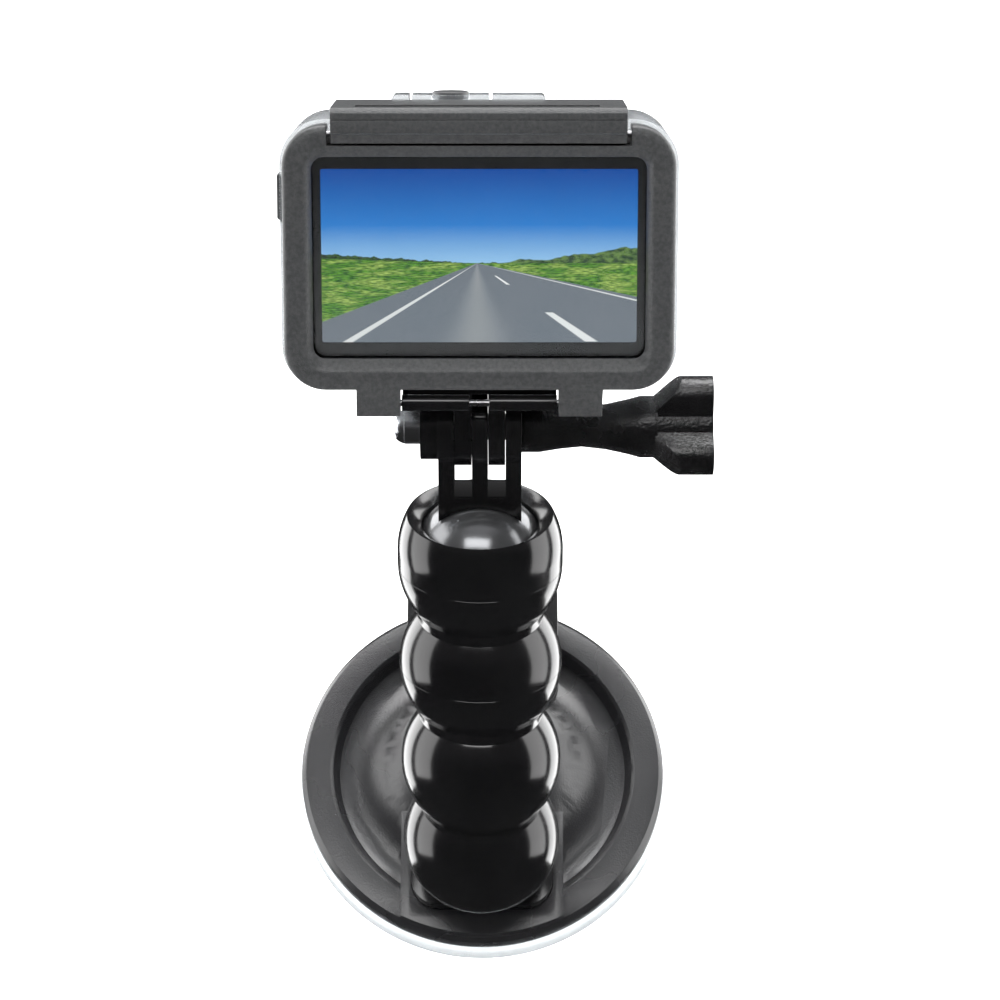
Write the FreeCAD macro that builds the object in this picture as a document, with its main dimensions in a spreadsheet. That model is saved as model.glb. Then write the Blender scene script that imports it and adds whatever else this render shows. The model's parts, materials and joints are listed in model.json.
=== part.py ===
import FreeCAD, Part
import os
import re
import Sketcher

# A dash camera in a clear-rimmed sealed housing, on a three-finger fork, a segmented ball arm and a
# lever suction base.  X is to the right of someone facing the screen, Y runs forwards out of the lens,
# Z is up, and the origin is the centre of the suction face.  Sizes are millimetres and degrees.

doc = FreeCAD.newDocument("DashCamera")
sheet = doc.addObject("Spreadsheet::Sheet", "Sizes")
next_row = 1


def dimension(alias, value, note):
    """Write one driving dimension into the sheet, with what it measures beside it."""
    global next_row
    sheet.set("A%d" % next_row, alias)
    sheet.set("B%d" % next_row, str(value))
    sheet.set("C%d" % next_row, note)
    sheet.setAlias("B%d" % next_row, alias)
    next_row += 1


# --- suction base -------------------------------------------------------------------------------
dimension("base_lean", 51, "lean of the suction face's normal from upright, degrees")
dimension("cup_radius", 39, "outer edge of the rubber cup")
dimension("cup_height", 3, "rubber cup, from the glass to its top")
dimension("cup_lip", 2, "flat sealing lip of the cup")
dimension("flange_radius", 38, "outer edge of the base shell")
dimension("flange_width", 6.4, "width of the flat flange")
dimension("flange_height", 8.6, "top of the flange above the glass")
dimension("moat_depth", 3.2, "depth of the ring moat below the flange")
dimension("dome_height", 13.6, "top of the middle dome above the glass")
dimension("dome_radius", 25, "foot of the middle dome")
dimension("shell_wall", 2.2, "wall of the base shell")
dimension("boss_radius", 10, "moving middle of the rubber cup")
dimension("block_width", 33.4, "raised block under the arm")
dimension("block_height", 10.8, "top of that block above the glass")
dimension("foot_width", 29, "foot plate of the arm")
dimension("foot_length", 20, "foot plate, front to back")
dimension("foot_rise", 2.6, "how far the foot plate stands above its block")
dimension("foot_offset", 22, "foot plate's middle, in front of the cup's middle")
dimension("foot_sink", 3, "depth of the foot plate's pocket")
dimension("lever_width", 32, "finger tab of the suction lever")
dimension("lever_length", 43, "lever, from its pin to the end of the tab")
dimension("lever_thick", 3, "lever plate")
dimension("lever_hub", 4.2, "radius of the lever's cam hub")
dimension("lever_pin_radius", 1.5, "radius of the lever pin")
dimension("lever_pin_height", 12.6, "lever pin above the glass")
dimension("plunger_travel", 1.5, "how far the cup's middle drops when the lever is lifted")
# --- segmented arm ------------------------------------------------------------------------------
dimension("bulb_radius", 15.5, "outside of every ball segment")
dimension("bulb_wall", 2.3, "wall of every ball segment")
dimension("link_pitch", 22, "centre to centre of two segments")
dimension("collar_radius", 12, "skirt under each segment")
dimension("seat_gap", 0.3, "skirt to the segment below it")
dimension("socket_gap", 0.2, "stud head or ball to the socket round it")
dimension("mouth_angle", 36, "half angle of the opening in a segment's top")
dimension("head_angle", 56, "half angle of a stud's head")
dimension("head_thick", 3, "thickness of a stud's head")
dimension("stem_radius", 4.5, "stem of a stud")
dimension("bulb_height", 29.5, "lowest segment's centre above the glass")
dimension("bulb_forward", 23, "lowest segment's centre in front of the cup's middle")
dimension("lean_four", 38, "lean of the lowest segment from upright")
dimension("lean_three", 27, "lean of the third segment")
dimension("lean_two", 16, "lean of the second segment")
dimension("lean_one", 17, "lean of the top segment")
dimension("wide_mouth_angle", 53, "half angle of the top segment's opening, where the fork moves")
dimension("cap_band", 2.6, "straight band between the top segment's equator and its dome")
# --- fork and thumbscrew ------------------------------------------------------------------------
dimension("fork_lean", 8, "lean of the fork")
dimension("fork_height", 26.4, "clamp axis above the top segment's centre, along the fork")
dimension("finger_radius", 7.3, "round end of every finger")
dimension("finger_width", 2.9, "thickness of a fork finger")
dimension("finger_pitch", 6.2, "spacing of the fork fingers")
dimension("finger_gap", 0.1, "fork finger to the housing finger beside it")
dimension("fork_root", 12.2, "floor of the finger slots below the clamp axis")
dimension("fork_depth", 10.4, "fork, front to back, below its round ends")
dimension("neck_depth", 7.2, "fork, front to back, where it passes through the opening")
dimension("neck_width", 13.2, "fork, side to side, inside the opening")
dimension("ball_room", 8.4, "hollow under the fork's ball")
dimension("screw_radius", 2.5, "radius of the clamp screw")
dimension("screw_gap", 0.15, "clamp screw to its holes")
dimension("ear_length", 3.3, "nut ear on the left finger")
dimension("ear_radius", 6, "radius of the nut ear")
dimension("nut_radius", 3.2, "radius of the cap nut's dome")
dimension("nut_length", 5.5, "cap nut beyond the ear")
dimension("knob_stem", 24.8, "stem of the thumb knob")
dimension("knob_end_radius", 4.7, "stem of the knob beside the fork")
dimension("knob_waist_radius", 3.7, "waist of the stem")
dimension("knob_collar_radius", 5.7, "stem beside the head")
dimension("knob_head", 10.2, "head of the knob, along the screw")
dimension("knob_radius", 9.9, "tip of each lobe")
dimension("lobe_width", 7, "thickness of each lobe")
dimension("knob_turn", 15, "first lobe's turn from upright, towards the screen")
# --- housing ------------------------------------------------------------------------------------
dimension("case_width", 71, "housing, side to side")
dimension("case_height", 48.6, "housing, bottom to top")
dimension("case_corner", 8.1, "housing corner")
dimension("case_wall", 2.2, "housing wall")
dimension("case_back", 9.6, "door joint behind the clamp axis")
dimension("case_front", 14, "housing front ahead of the clamp axis")
dimension("case_middle", 32.8, "middle of the housing above the clamp axis")
dimension("prong_width", 3.1, "thickness of a housing finger")
dimension("port_radius", 13, "lens port, outside")
dimension("port_wall", 1.8, "lens port wall")
dimension("port_length", 9, "lens port ahead of the housing")
dimension("port_side", 17, "lens axis left of the middle")
dimension("port_rise", 6, "lens axis above the middle")
dimension("glass_thick", 1.6, "lens port glass")
dimension("rim_gap", 0.7, "housing rim proud of the door all round")
dimension("door_thick", 5.2, "door, front to back")
dimension("door_corner", 7.4, "door corner")
dimension("window_width", 59.2, "window in the door")
dimension("window_height", 35.9, "window, bottom to top")
dimension("window_corner", 1.9, "window corner")
dimension("window_thick", 1.5, "window pane")
dimension("bevel_width", 1.2, "slope round the window")
dimension("gasket_width", 1.8, "rubber gasket ring")
dimension("gasket_thick", 1, "rubber gasket ring, front to back")
dimension("lug_inner", 14.2, "inner face of the door's hinge lugs")
dimension("lug_outer", 22, "outer face of the door's hinge lugs")
dimension("barrel_inner", 1.8, "inner end of the housing's hinge barrels")
dimension("barrel_outer", 13.9, "outer end of the housing's hinge barrels")
dimension("barrel_radius", 1.5, "hinge barrel and lug end")
dimension("pin_radius", 0.6, "hinge and latch pins")
dimension("pin_gap", 0.06, "running gap round those pins")
dimension("hinge_height", 6.6, "door hinge above the clamp axis")
# --- latch --------------------------------------------------------------------------------------
dimension("latch_width", 52, "latch bar")
dimension("latch_top", 26.8, "top of the latch bar above the housing's middle")
dimension("latch_bottom", 20.4, "underside of the latch bar above the housing's middle")
dimension("latch_pivot", 22, "latch pin above the housing's middle")
dimension("latch_set", 4, "latch pin behind the door joint")
dimension("latch_recess", 26.8, "half width of the notch in the door")
dimension("groove_length", 43.3, "finger groove along the latch bar")
dimension("latch_reach", 16, "latch bar, from its pin to its hook")
dimension("catch_height", 0.8, "catch ridge above the housing top")
dimension("hook_gap", 0.35, "hook above the housing top")
dimension("tower_width", 28, "shutter tower on the housing top")
dimension("tower_shift", 2, "shutter tower's middle, left of the housing's middle")
dimension("tower_height", 3.2, "shutter tower above the housing top")
dimension("tower_depth", 7.6, "shutter tower, front to back")
# --- buttons ------------------------------------------------------------------------------------
dimension("key_height", 8.4, "side key, bottom to top")
dimension("key_depth", 5, "side key, front to back")
dimension("key_proud", 1.1, "side key beyond the housing wall")
dimension("key_rise", 9.8, "side key above the housing's middle")
dimension("shutter_radius", 3.3, "shutter button")
dimension("shutter_side", 5.3, "shutter button left of the housing's middle")
dimension("shutter_proud", 0.5, "shutter button above its tower")
dimension("button_travel", 0.8, "how far a button presses")
dimension("button_gap", 0.15, "button to its hole")
# --- camera inside ------------------------------------------------------------------------------
dimension("camera_width", 64, "camera case")
dimension("camera_height", 41.6, "camera case, bottom to top")
dimension("camera_wall", 1.4, "camera case wall")
dimension("screen_width", 56.4, "lit screen")
dimension("screen_height", 31.1, "lit screen, bottom to top")
dimension("screen_thick", 1.8, "screen module")
dimension("battery_width", 24, "battery")
dimension("battery_height", 30, "battery, bottom to top")
dimension("battery_thick", 9, "battery, front to back")
dimension("board_thick", 1.2, "main board")
dimension("barrel_size", 8.4, "lens barrel radius")
doc.recompute()

WORDS = set(re.findall(r"'([a-z_]+)'", repr([sheet.get("A%d" % row) for row in range(1, next_row)])))


def size(alias):
    """A dimension's number, for places and for shapes that have no expressions."""
    return float(sheet.get(alias))


def bound(text):
    """An expression in sheet words, with each alias pointed at the sheet."""
    return re.sub(r"[a-z_]+", lambda word: "Sizes." + word[0] if word[0] in WORDS else word[0], str(text))


def number(text):
    """The value of the same expression, worked out by the sheet."""
    found = sheet.evalExpression(bound(text))
    return float(getattr(found, "Value", found))


UPRIGHT = FreeCAD.Rotation()
ALONG_X = FreeCAD.Rotation(FreeCAD.Vector(0, 1, 0), 90)
ALONG_Y = FreeCAD.Rotation(FreeCAD.Vector(1, 0, 0), -90)
TURNS = {"x": ALONG_X, "y": ALONG_Y, "z": UPRIGHT}
LAID_FLAT = FreeCAD.Rotation(FreeCAD.Vector(1, 0, 0), 90)
ORIGIN = ("0", "0", "0")


def put(piece, at, turn=UPRIGHT):
    """Bind a primitive's position to sheet words."""
    piece.Placement = FreeCAD.Placement(FreeCAD.Vector(), turn)
    for axis, text in zip("xyz", at):
        piece.setExpression("Placement.Base." + axis, bound(text))
    return piece


def box(name, low, high):
    """A block between two corners, each given in sheet words."""
    piece = doc.addObject("Part::Box", name)
    for side, start, end in zip(("Length", "Width", "Height"), low, high):
        piece.setExpression(side, bound("(%s) - (%s)" % (end, start)))
    return put(piece, low)


def cylinder(name, radius, start, length, axis="z"):
    """A round bar from a start point along an axis."""
    piece = doc.addObject("Part::Cylinder", name)
    piece.setExpression("Radius", bound(radius))
    piece.setExpression("Height", bound(length))
    return put(piece, start, TURNS[axis])


def cone(name, first, second, start, length, axis="z"):
    """A cone from its first radius to its second."""
    piece = doc.addObject("Part::Cone", name)
    piece.setExpression("Radius1", bound(first))
    piece.setExpression("Radius2", bound(second))
    piece.setExpression("Height", bound(length))
    return put(piece, start, TURNS[axis])


def sphere(name, radius, centre=ORIGIN):
    piece = doc.addObject("Part::Sphere", name)
    piece.setExpression("Radius", bound(radius))
    return put(piece, centre)


def cut(name, base, *tools):
    """The base less every tool."""
    for count, tool in enumerate(tools):
        piece = doc.addObject("Part::Cut", name + "_cut%d" % count)
        piece.Base = base
        piece.Tool = tool
        base = piece
    return base


def fuse(name, *parts):
    piece = doc.addObject("Part::MultiFuse", name)
    piece.Shapes = list(parts)
    piece.Refine = True
    return piece


def common(name, *parts):
    piece = doc.addObject("Part::MultiCommon", name)
    piece.Shapes = list(parts)
    return piece


def group(name, *parts):
    """Like pieces that share one node, left as separate solids."""
    piece = doc.addObject("Part::Compound", name)
    piece.Links = list(parts)
    return piece


def origin_plane(body, role):
    return next(item for item in body.Origin.OriginFeatures if item.Role == role)


def outline(body, role, points):
    """A closed sketch of straight sides whose every corner is bound to sheet words."""
    sketch = body.newObject("Sketcher::SketchObject", body.Name + "_outline")
    sketch.AttachmentSupport = [(origin_plane(body, role), "")]
    sketch.MapMode = "FlatFace"
    corners = [FreeCAD.Vector(number(across), number(up), 0) for across, up in points]
    count = len(corners)
    for index in range(count):
        sketch.addGeometry(Part.LineSegment(corners[index], corners[(index + 1) % count]), False)
    for index in range(count):
        sketch.addConstraint(Sketcher.Constraint("Coincident", index, 2, (index + 1) % count, 1))
    for index, (across, up) in enumerate(points):
        for kind, text, value in (("DistanceX", across, corners[index].x), ("DistanceY", up, corners[index].y)):
            place = sketch.addConstraint(Sketcher.Constraint(kind, index, 1, value))
            sketch.setExpression("Constraints[%d]" % place, bound(text))
    return sketch


def turned(name, points, axis="z"):
    """A turned piece: a half outline, as (radius, height) pairs, revolved about its axis."""
    body = doc.addObject("PartDesign::Body", name)
    sketch = outline(body, "XZ_Plane", points)
    spin = body.newObject("PartDesign::Revolution", name + "_turn")
    spin.Profile = sketch
    spin.ReferenceAxis = (sketch, ["V_Axis"])
    spin.Angle = 360
    body.Placement = FreeCAD.Placement(FreeCAD.Vector(), TURNS[axis])
    return body


def slab(name, width, height, corner, back, front, centre=("0", "case_middle"), at=None, turn=UPRIGHT):
    """A slab with rounded corners, padded from its back to its front; at and turn stand it elsewhere."""
    body = doc.addObject("PartDesign::Body", name)
    half = "(%s) / 2" % width
    tall = "(%s) / 2" % height
    across, up = centre
    sides = [("(%s) %s %s" % (across, x, half), "(%s) %s %s" % (up, z, tall))
             for x, z in (("-", "-"), ("+", "-"), ("+", "+"), ("-", "+"))]
    sketch = outline(body, "XZ_Plane", sides)
    pad = body.newObject("PartDesign::Pad", name + "_pad")
    pad.Profile = sketch
    pad.setExpression("Length", bound("(%s) - (%s)" % (front, back)))
    pad.Reversed = True
    put(body, at or ("0", back, "0"), turn)
    doc.recompute()
    upright = [
        "Edge%d" % (index + 1) for index, edge in enumerate(pad.Shape.Edges)
        if abs(edge.Vertexes[0].Y - edge.Vertexes[1].Y) > 0.01]
    fillet = body.newObject("PartDesign::Fillet", name + "_corners")
    fillet.Base = (pad, upright)
    fillet.setExpression("Radius", bound(corner))
    body.Tip = fillet
    return body


pieces = []


def finish(piece, label, frame):
    """Name a finished sub-part and stand it in the whole object's frame."""
    doc.recompute()
    for axis in "xyz":
        piece.setExpression("Placement.Base." + axis, None)
    piece.Label = label
    piece.Placement = frame.multiply(piece.Placement)
    pieces.append(piece)


def leaned(point, degrees):
    """A frame at a point, leaned back towards the screen side."""
    return FreeCAD.Placement(point, FreeCAD.Rotation(FreeCAD.Vector(1, 0, 0), degrees))


# --- frames: each one is worked out from the one below it ----------------------------------------
base_frame = leaned(FreeCAD.Vector(), size("base_lean"))
low_centre = base_frame.multVec(FreeCAD.Vector(0, -size("bulb_forward"), size("bulb_height")))
bulb_frames = {4: leaned(low_centre, size("lean_four"))}
for segment, word in ((3, "lean_three"), (2, "lean_two"), (1, "lean_one")):
    step = leaned(FreeCAD.Vector(), size(word)).multVec(FreeCAD.Vector(0, 0, size("link_pitch")))
    bulb_frames[segment] = leaned(bulb_frames[segment + 1].Base + step, size(word))
fork_frame = leaned(bulb_frames[1].Base, size("fork_lean"))
clamp_point = fork_frame.multVec(FreeCAD.Vector(0, 0, size("fork_height")))
head_frame = leaned(clamp_point, 0)


# === suction base: its pieces lie in the frame of the suction face ===============================
def suction_cup():
    """Soft clear rubber disc, hollow below, with a flat sealing lip and a hole for its moving middle."""
    cup = turned("cup", [
        ("boss_radius + seat_gap", "cup_height - 1.2"), ("cup_radius - cup_lip", "0"), ("cup_radius", "0"),
        ("cup_radius", "1.4"), ("cup_radius - 1.6", "cup_height"), ("boss_radius + seat_gap", "cup_height")])
    finish(cup, "suction_cup", base_frame)


def cup_boss():
    """Middle of the cup, moulded round the foot of the draw stud."""
    boss = turned("boss", [
        ("0", "cup_height - 1.2"), ("boss_radius", "cup_height - 1.2"), ("boss_radius", "cup_height"),
        ("boss_radius - 2", "cup_height + 1"), ("0", "cup_height + 1")])
    finish(boss, "cup_boss", base_frame)


def draw_stud():
    """Plunger with two cheeks whose slots carry the lever pin; it lifts the cup's middle."""
    post = cylinder("post", "5", ("0", "0", "cup_height + 1"), "1.6")
    cheeks = []
    for side, start, end in (("left", "-7.2", "-5.4"), ("right", "5.4", "7.2")):
        cheeks.append(box("cheek_" + side, (start, "-3.2", "cup_height + 2.6"), (end, "3.2", "lever_pin_height + 3.8")))
    bridge = box("bridge", ("-7.2", "-3.2", "cup_height + 1.6"), ("7.2", "3.2", "cup_height + 2.8"))
    slots = [
        cylinder("slot_low", "lever_pin_radius + screw_gap", ("-8", "0", "lever_pin_height"), "16", "x"),
        cylinder("slot_high", "lever_pin_radius + screw_gap",
                 ("-8", "0", "lever_pin_height + plunger_travel"), "16", "x"),
        box("slot_mid", ("-8", "-lever_pin_radius - screw_gap", "lever_pin_height"),
            ("8", "lever_pin_radius + screw_gap", "lever_pin_height + plunger_travel"))]
    stud = cut("stud", fuse("stud_blank", post, bridge, *cheeks), *slots)
    finish(stud, "draw_stud", base_frame)


def spring_washer():
    """Cone spring between the base shell and the cup's middle; it pushes the middle down."""
    washer = turned("washer", [
        ("8.3", "cup_height + 1.3"), ("boss_radius - 0.4", "cup_height + 1.1"),
        ("boss_radius + 2", "cup_height + 2.6"), ("boss_radius + 1.6", "cup_height + 3.2")])
    finish(washer, "spring_washer", base_frame)


def base_shell():
    """Moulded flange, ring moat, middle dome and the raised block that carries the arm."""
    inside = "flange_radius - flange_width"
    skin = turned("skin", [
        ("0", "cup_height + 0.05"), ("flange_radius - 1.2", "cup_height + 0.05"),
        ("flange_radius", "cup_height + 1.4"), ("flange_radius", "flange_height - 1.4"),
        ("flange_radius - 1", "flange_height - 0.2"), ("%s + 0.4" % inside, "flange_height"),
        ("%s - 0.3" % inside, "flange_height - 0.5"), ("%s - 1.6" % inside, "flange_height - moat_depth + 0.5"),
        ("%s - 3" % inside, "flange_height - moat_depth"), ("dome_radius + 1", "flange_height - moat_depth"),
        ("dome_radius - 3", "flange_height - moat_depth + 1.4"), ("dome_radius - 8", "dome_height - 2.4"),
        ("dome_radius - 12", "dome_height - 0.6"), ("dome_radius - 18", "dome_height"), ("0", "dome_height")])
    round_edge = cylinder("block_round", "flange_radius - 0.8", ("0", "0", "cup_height + 0.05"), "30")
    block = common("block", round_edge, box(
        "block_box", ("-block_width / 2", "-flange_radius", "cup_height + 0.05"),
        ("block_width / 2", "-foot_offset + foot_length / 2 + 1.2", "block_height")))
    hollow = turned("hollow", [
        ("0", "0"), ("dome_radius - 4", "0"), ("dome_radius - 4", "flange_height - moat_depth - shell_wall + 2"),
        ("dome_radius - 9.6", "dome_height - 2.4 - shell_wall"), ("dome_radius - 14", "dome_height - shell_wall"),
        ("0", "dome_height - shell_wall")])
    keep = box("keep", ("-block_width / 2", "-flange_radius", "0"), ("block_width / 2", "-12.6", "block_height"))
    chamber = cut("chamber", hollow, keep)
    pocket = foot_block("pocket", "seat_gap / 3", "block_height - foot_sink", "block_height + foot_rise + 1")
    gate = box("gate", ("-7.6", "-5.2", "cup_height + 4"), ("7.6", "7.4", "dome_height + 1"))
    rear_gate = box("rear_gate", ("-5.6", "0", "lever_pin_height - lever_hub - 0.4"), ("5.6", "16", "dome_height + 1"))
    pin_hole = cylinder("pin_hole", "lever_pin_radius", ("-11", "0", "lever_pin_height"), "22", "x")
    bolt_holes = [
        cylinder("bolt_hole_" + side, "1.2", (across, "-foot_offset", "0"), "block_height")
        for side, across in (("left", "-9"), ("right", "9"))]
    heads = [
        cylinder("bolt_sink_" + side, "2.4", (across, "-foot_offset", "0"), "cup_height + 1.8")
        for side, across in (("left", "-9"), ("right", "9"))]
    shell = cut("base", fuse("base_blank", skin, block), chamber, pocket, gate, rear_gate, pin_hole,
                *bolt_holes, *heads)
    finish(shell, "base_shell", base_frame)


def foot_block(name, grow, low, high):
    """Rounded plate of the arm's foot, or the pocket for it when it is grown."""
    return slab(name + "_plate", "foot_width + 2 * (%s)" % grow, "foot_length + 2 * (%s)" % grow,
                "6 + %s" % grow, low, high, ("0", "0"), ("0", "-foot_offset", low), LAID_FLAT)


def arm_foot():
    """Foot plate in the block's pocket, with a short post whose cupped top carries the lowest segment."""
    plate = foot_block("foot", "0", "block_height - foot_sink", "block_height + foot_rise")
    post = cylinder("foot_post", "9", ("0", "-bulb_forward", "block_height"), "8")
    seat = sphere("foot_seat", "bulb_radius + pin_gap", ("0", "-bulb_forward", "bulb_height"))
    threads = [
        cylinder("foot_hole_" + side, "1.2", (across, "-foot_offset", "block_height - foot_sink"), "4")
        for side, across in (("left", "-9"), ("right", "9"))]
    finish(cut("foot_body", fuse("foot_blank", plate, post), seat, *threads), "arm_foot", base_frame)


def foot_screws():
    """Two pan-head screws from under the base shell into the foot plate."""
    screws = []
    for side, across in (("left", "-9"), ("right", "9")):
        head = cylinder("foot_head_" + side, "2.2", (across, "-foot_offset", "cup_height + 0.2"), "1.6")
        shank = cylinder("foot_shank_" + side, "1.2", (across, "-foot_offset", "cup_height + 1.8"),
                         "block_height - foot_sink + 3.6 - cup_height - 1.8")
        screws.append(fuse("foot_screw_" + side, head, shank))
    finish(group("foot_screw_pair", *screws), "foot_screws", base_frame)


def cam_lever():
    """Lever whose hub turns on the pin and whose tab stands out past the flange."""
    hub = cylinder("hub", "lever_hub", ("-5", "0", "lever_pin_height"), "10", "x")
    neck = box("neck", ("-5", "0", "lever_pin_height + lever_hub - lever_thick"),
               ("5", "14", "lever_pin_height + lever_hub"))
    plate = slab("lever_plate", "lever_width", "lever_length - 9", "7", "0", "lever_thick", ("0", "0"),
                 ("0", "9 + (lever_length - 9) / 2", "lever_pin_height + lever_hub - lever_thick"), LAID_FLAT)
    ridges = [
        box("ridge_%d" % count, ("-lever_width / 2 + 5", "lever_length - %g" % back, "lever_pin_height + lever_hub"),
            ("lever_width / 2 - 5", "lever_length - %g" % (back - 1), "lever_pin_height + lever_hub + 0.6"))
        for count, back in enumerate((4, 6, 8))]
    bore = cylinder("hub_bore", "lever_pin_radius + pin_gap", ("-6", "0", "lever_pin_height"), "12", "x")
    finish(cut("lever", fuse("lever_blank", hub, neck, plate, *ridges), bore), "cam_lever", base_frame)


def lever_pin():
    """Steel pin across the dome that the lever's hub turns on."""
    finish(cylinder("pin", "lever_pin_radius", ("-10.4", "0", "lever_pin_height"), "20.8", "x"),
           "lever_pin", base_frame)


# === arm: each segment is a cap and a body that meet at its equator ===============================
def half_shell(name, side):
    """Upper or lower half of a segment's wall."""
    outer = sphere(name + "_outer", "bulb_radius")
    inner = sphere(name + "_inner", "bulb_radius - bulb_wall")
    away = {"upper": ("-bulb_radius", "0"), "lower": ("0", "bulb_radius")}[side]
    half = box(name + "_half", ("-bulb_radius", "-bulb_radius", away[0]), ("bulb_radius", "bulb_radius", away[1]))
    return cut(name + "_shell", outer, inner, half)


def segment_cap(count):
    """Upper half of a segment, open at the top for the stud or the fork that moves in it."""
    name = "cap_%d" % count
    angle = "wide_mouth_angle" if count == 1 else "mouth_angle"
    reach = "bulb_radius + cap_band + 1"
    mouth = cone(name + "_mouth", "0", "(%s) * tan(%s * 1deg)" % (reach, angle), ORIGIN, reach)
    shell = half_shell(name, "upper")
    if count == 1:
        dome = sphere(name + "_tall", "bulb_radius", ("0", "0", "cap_band"))
        band = cylinder(name + "_band", "bulb_radius", ORIGIN, "cap_band")
        below = box(name + "_below", ("-bulb_radius", "-bulb_radius", "-bulb_radius"), ("bulb_radius", "bulb_radius", "0"))
        room = sphere(name + "_room", "bulb_radius - bulb_wall")
        shell = cut(name + "_tall_shell", fuse(name + "_tall_blank", dome, band), below, room)
    finish(cut(name, shell, mouth), "segment_%d_cap" % count, bulb_frames[count])


def segment_body(count):
    """Lower half of a segment, with the skirt that rides on the segment below and the floor over it."""
    name = "body_%d" % count
    seat = sphere(name + "_seat", "bulb_radius + seat_gap", ("0", "0", "-link_pitch"))
    skirt = cylinder(name + "_skirt", "collar_radius", ("0", "0", "-link_pitch + 8"), "link_pitch - 8 - 5")
    floor = common(
        name + "_floor", sphere(name + "_dome", "bulb_radius + seat_gap + bulb_wall", ("0", "0", "-link_pitch")),
        sphere(name + "_bound", "bulb_radius - bulb_wall / 2"))
    hollow = cut(
        name + "_hollow", sphere(name + "_room", "bulb_radius - bulb_wall"),
        sphere(name + "_under", "bulb_radius + seat_gap + bulb_wall", ("0", "0", "-link_pitch")))
    stem = cylinder(name + "_hole", "stem_radius + pin_gap", ("0", "0", "-link_pitch"), "link_pitch")
    blank = fuse(name + "_blank", half_shell(name, "lower"), skirt, floor)
    above = box(name + "_above", ("-bulb_radius", "-bulb_radius", "0"), ("bulb_radius", "bulb_radius", "bulb_radius"))
    finish(cut(name, blank, hollow, seat, stem, above), "segment_%d_body" % count, bulb_frames[count])


def segment_stud(count):
    """Stem held in a segment's floor, with the domed head that turns inside the segment below."""
    name = "stud_%d" % count
    below = ("0", "0", "-link_pitch")
    outer = sphere(name + "_outer", "bulb_radius - bulb_wall - socket_gap", below)
    inner = sphere(name + "_inner", "bulb_radius - bulb_wall - socket_gap - head_thick", below)
    reach = cone(name + "_reach", "0", "bulb_radius * tan(head_angle * 1deg)", below, "bulb_radius")
    head = common(name + "_head", cut(name + "_ring", outer, inner), reach)
    stem = cylinder(name + "_stem", "stem_radius",
                    ("0", "0", "-link_pitch + bulb_radius - bulb_wall - head_thick + 0.6"),
                    "seat_gap + bulb_wall * 2 + head_thick + 1.2")
    collar = cylinder(name + "_collar", "stem_radius + 2.4",
                      ("0", "0", "-link_pitch + bulb_radius + seat_gap + bulb_wall + 0.1"), "1.8")
    finish(fuse(name, head, stem, collar), "segment_%d_stud" % count, bulb_frames[count])


def lowest_body():
    """Lower half of the lowest segment, closed and seated on the foot's post."""
    finish(half_shell("body_4", "lower"), "segment_4_body", bulb_frames[4])


# === fork in the top segment ======================================================================
def fork_finger(name, across):
    """One finger: a round end on the clamp axis and a flat down to the root."""
    low = "(%s) - finger_width / 2" % across
    high = "(%s) + finger_width / 2" % across
    end = cylinder(name + "_end", "finger_radius", (low, "0", "fork_height"), "finger_width", "x")
    flat = box(name + "_flat", (low, "-fork_depth / 2", "fork_height - fork_root"),
               (high, "fork_depth / 2", "fork_height"))
    return fuse(name, end, flat)


def fork_mount():
    """Ball, neck and three fingers in one moulding; the left finger has an ear for the nut."""
    ball = sphere("fork_ball", "bulb_radius - bulb_wall - socket_gap")
    room = sphere("fork_room", "ball_room")
    under = box("fork_under", ("-bulb_radius", "-bulb_radius", "-bulb_radius"), ("bulb_radius", "bulb_radius", "0"))
    half = "finger_pitch + finger_width / 2"
    floor = "fork_height - fork_root"
    saddle = sphere("fork_saddle", "bulb_radius - bulb_wall + socket_gap / 2")
    root = cut("fork_root", box("fork_rootblock", ("-(%s)" % half, "-fork_depth / 2", "ball_room"),
                                (half, "fork_depth / 2", floor)), saddle)
    neck = box("fork_neckblock", ("-neck_width / 2", "-neck_depth / 2", "ball_room + 0.4"),
               ("neck_width / 2", "neck_depth / 2", floor + " - socket_gap"))
    fingers = [fork_finger("finger_%d" % count, "%d * finger_pitch" % place)
               for count, place in enumerate((-1, 0, 1))]
    ear = cylinder("ear", "ear_radius", ("-(%s) - ear_length" % half, "0", "fork_height"), "ear_length + 0.5", "x")
    nut_room = nut_hex("nut_room", "pin_gap")
    hole = cylinder("fork_hole", "screw_radius + screw_gap", ("-20", "0", "fork_height"), "40", "x")
    blank = fuse("fork_blank", cut("ball_top", ball, under, room), root, neck, ear, *fingers)
    finish(cut("fork", blank, hole, nut_room), "fork_mount", fork_frame)


def nut_hex(name, grow):
    """Six-sided part of the nut inside the ear."""
    prism = doc.addObject("Part::Prism", name)
    prism.Polygon = 6
    prism.setExpression("Circumradius", bound("screw_radius + 1.9 + %s" % grow))
    prism.setExpression("Height", bound("ear_length - 0.8 + %s" % grow))
    half = "finger_pitch + finger_width / 2"
    return put(prism, ("-(%s) - ear_length - %s" % (half, grow), "0", "fork_height"), ALONG_X)


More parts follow.
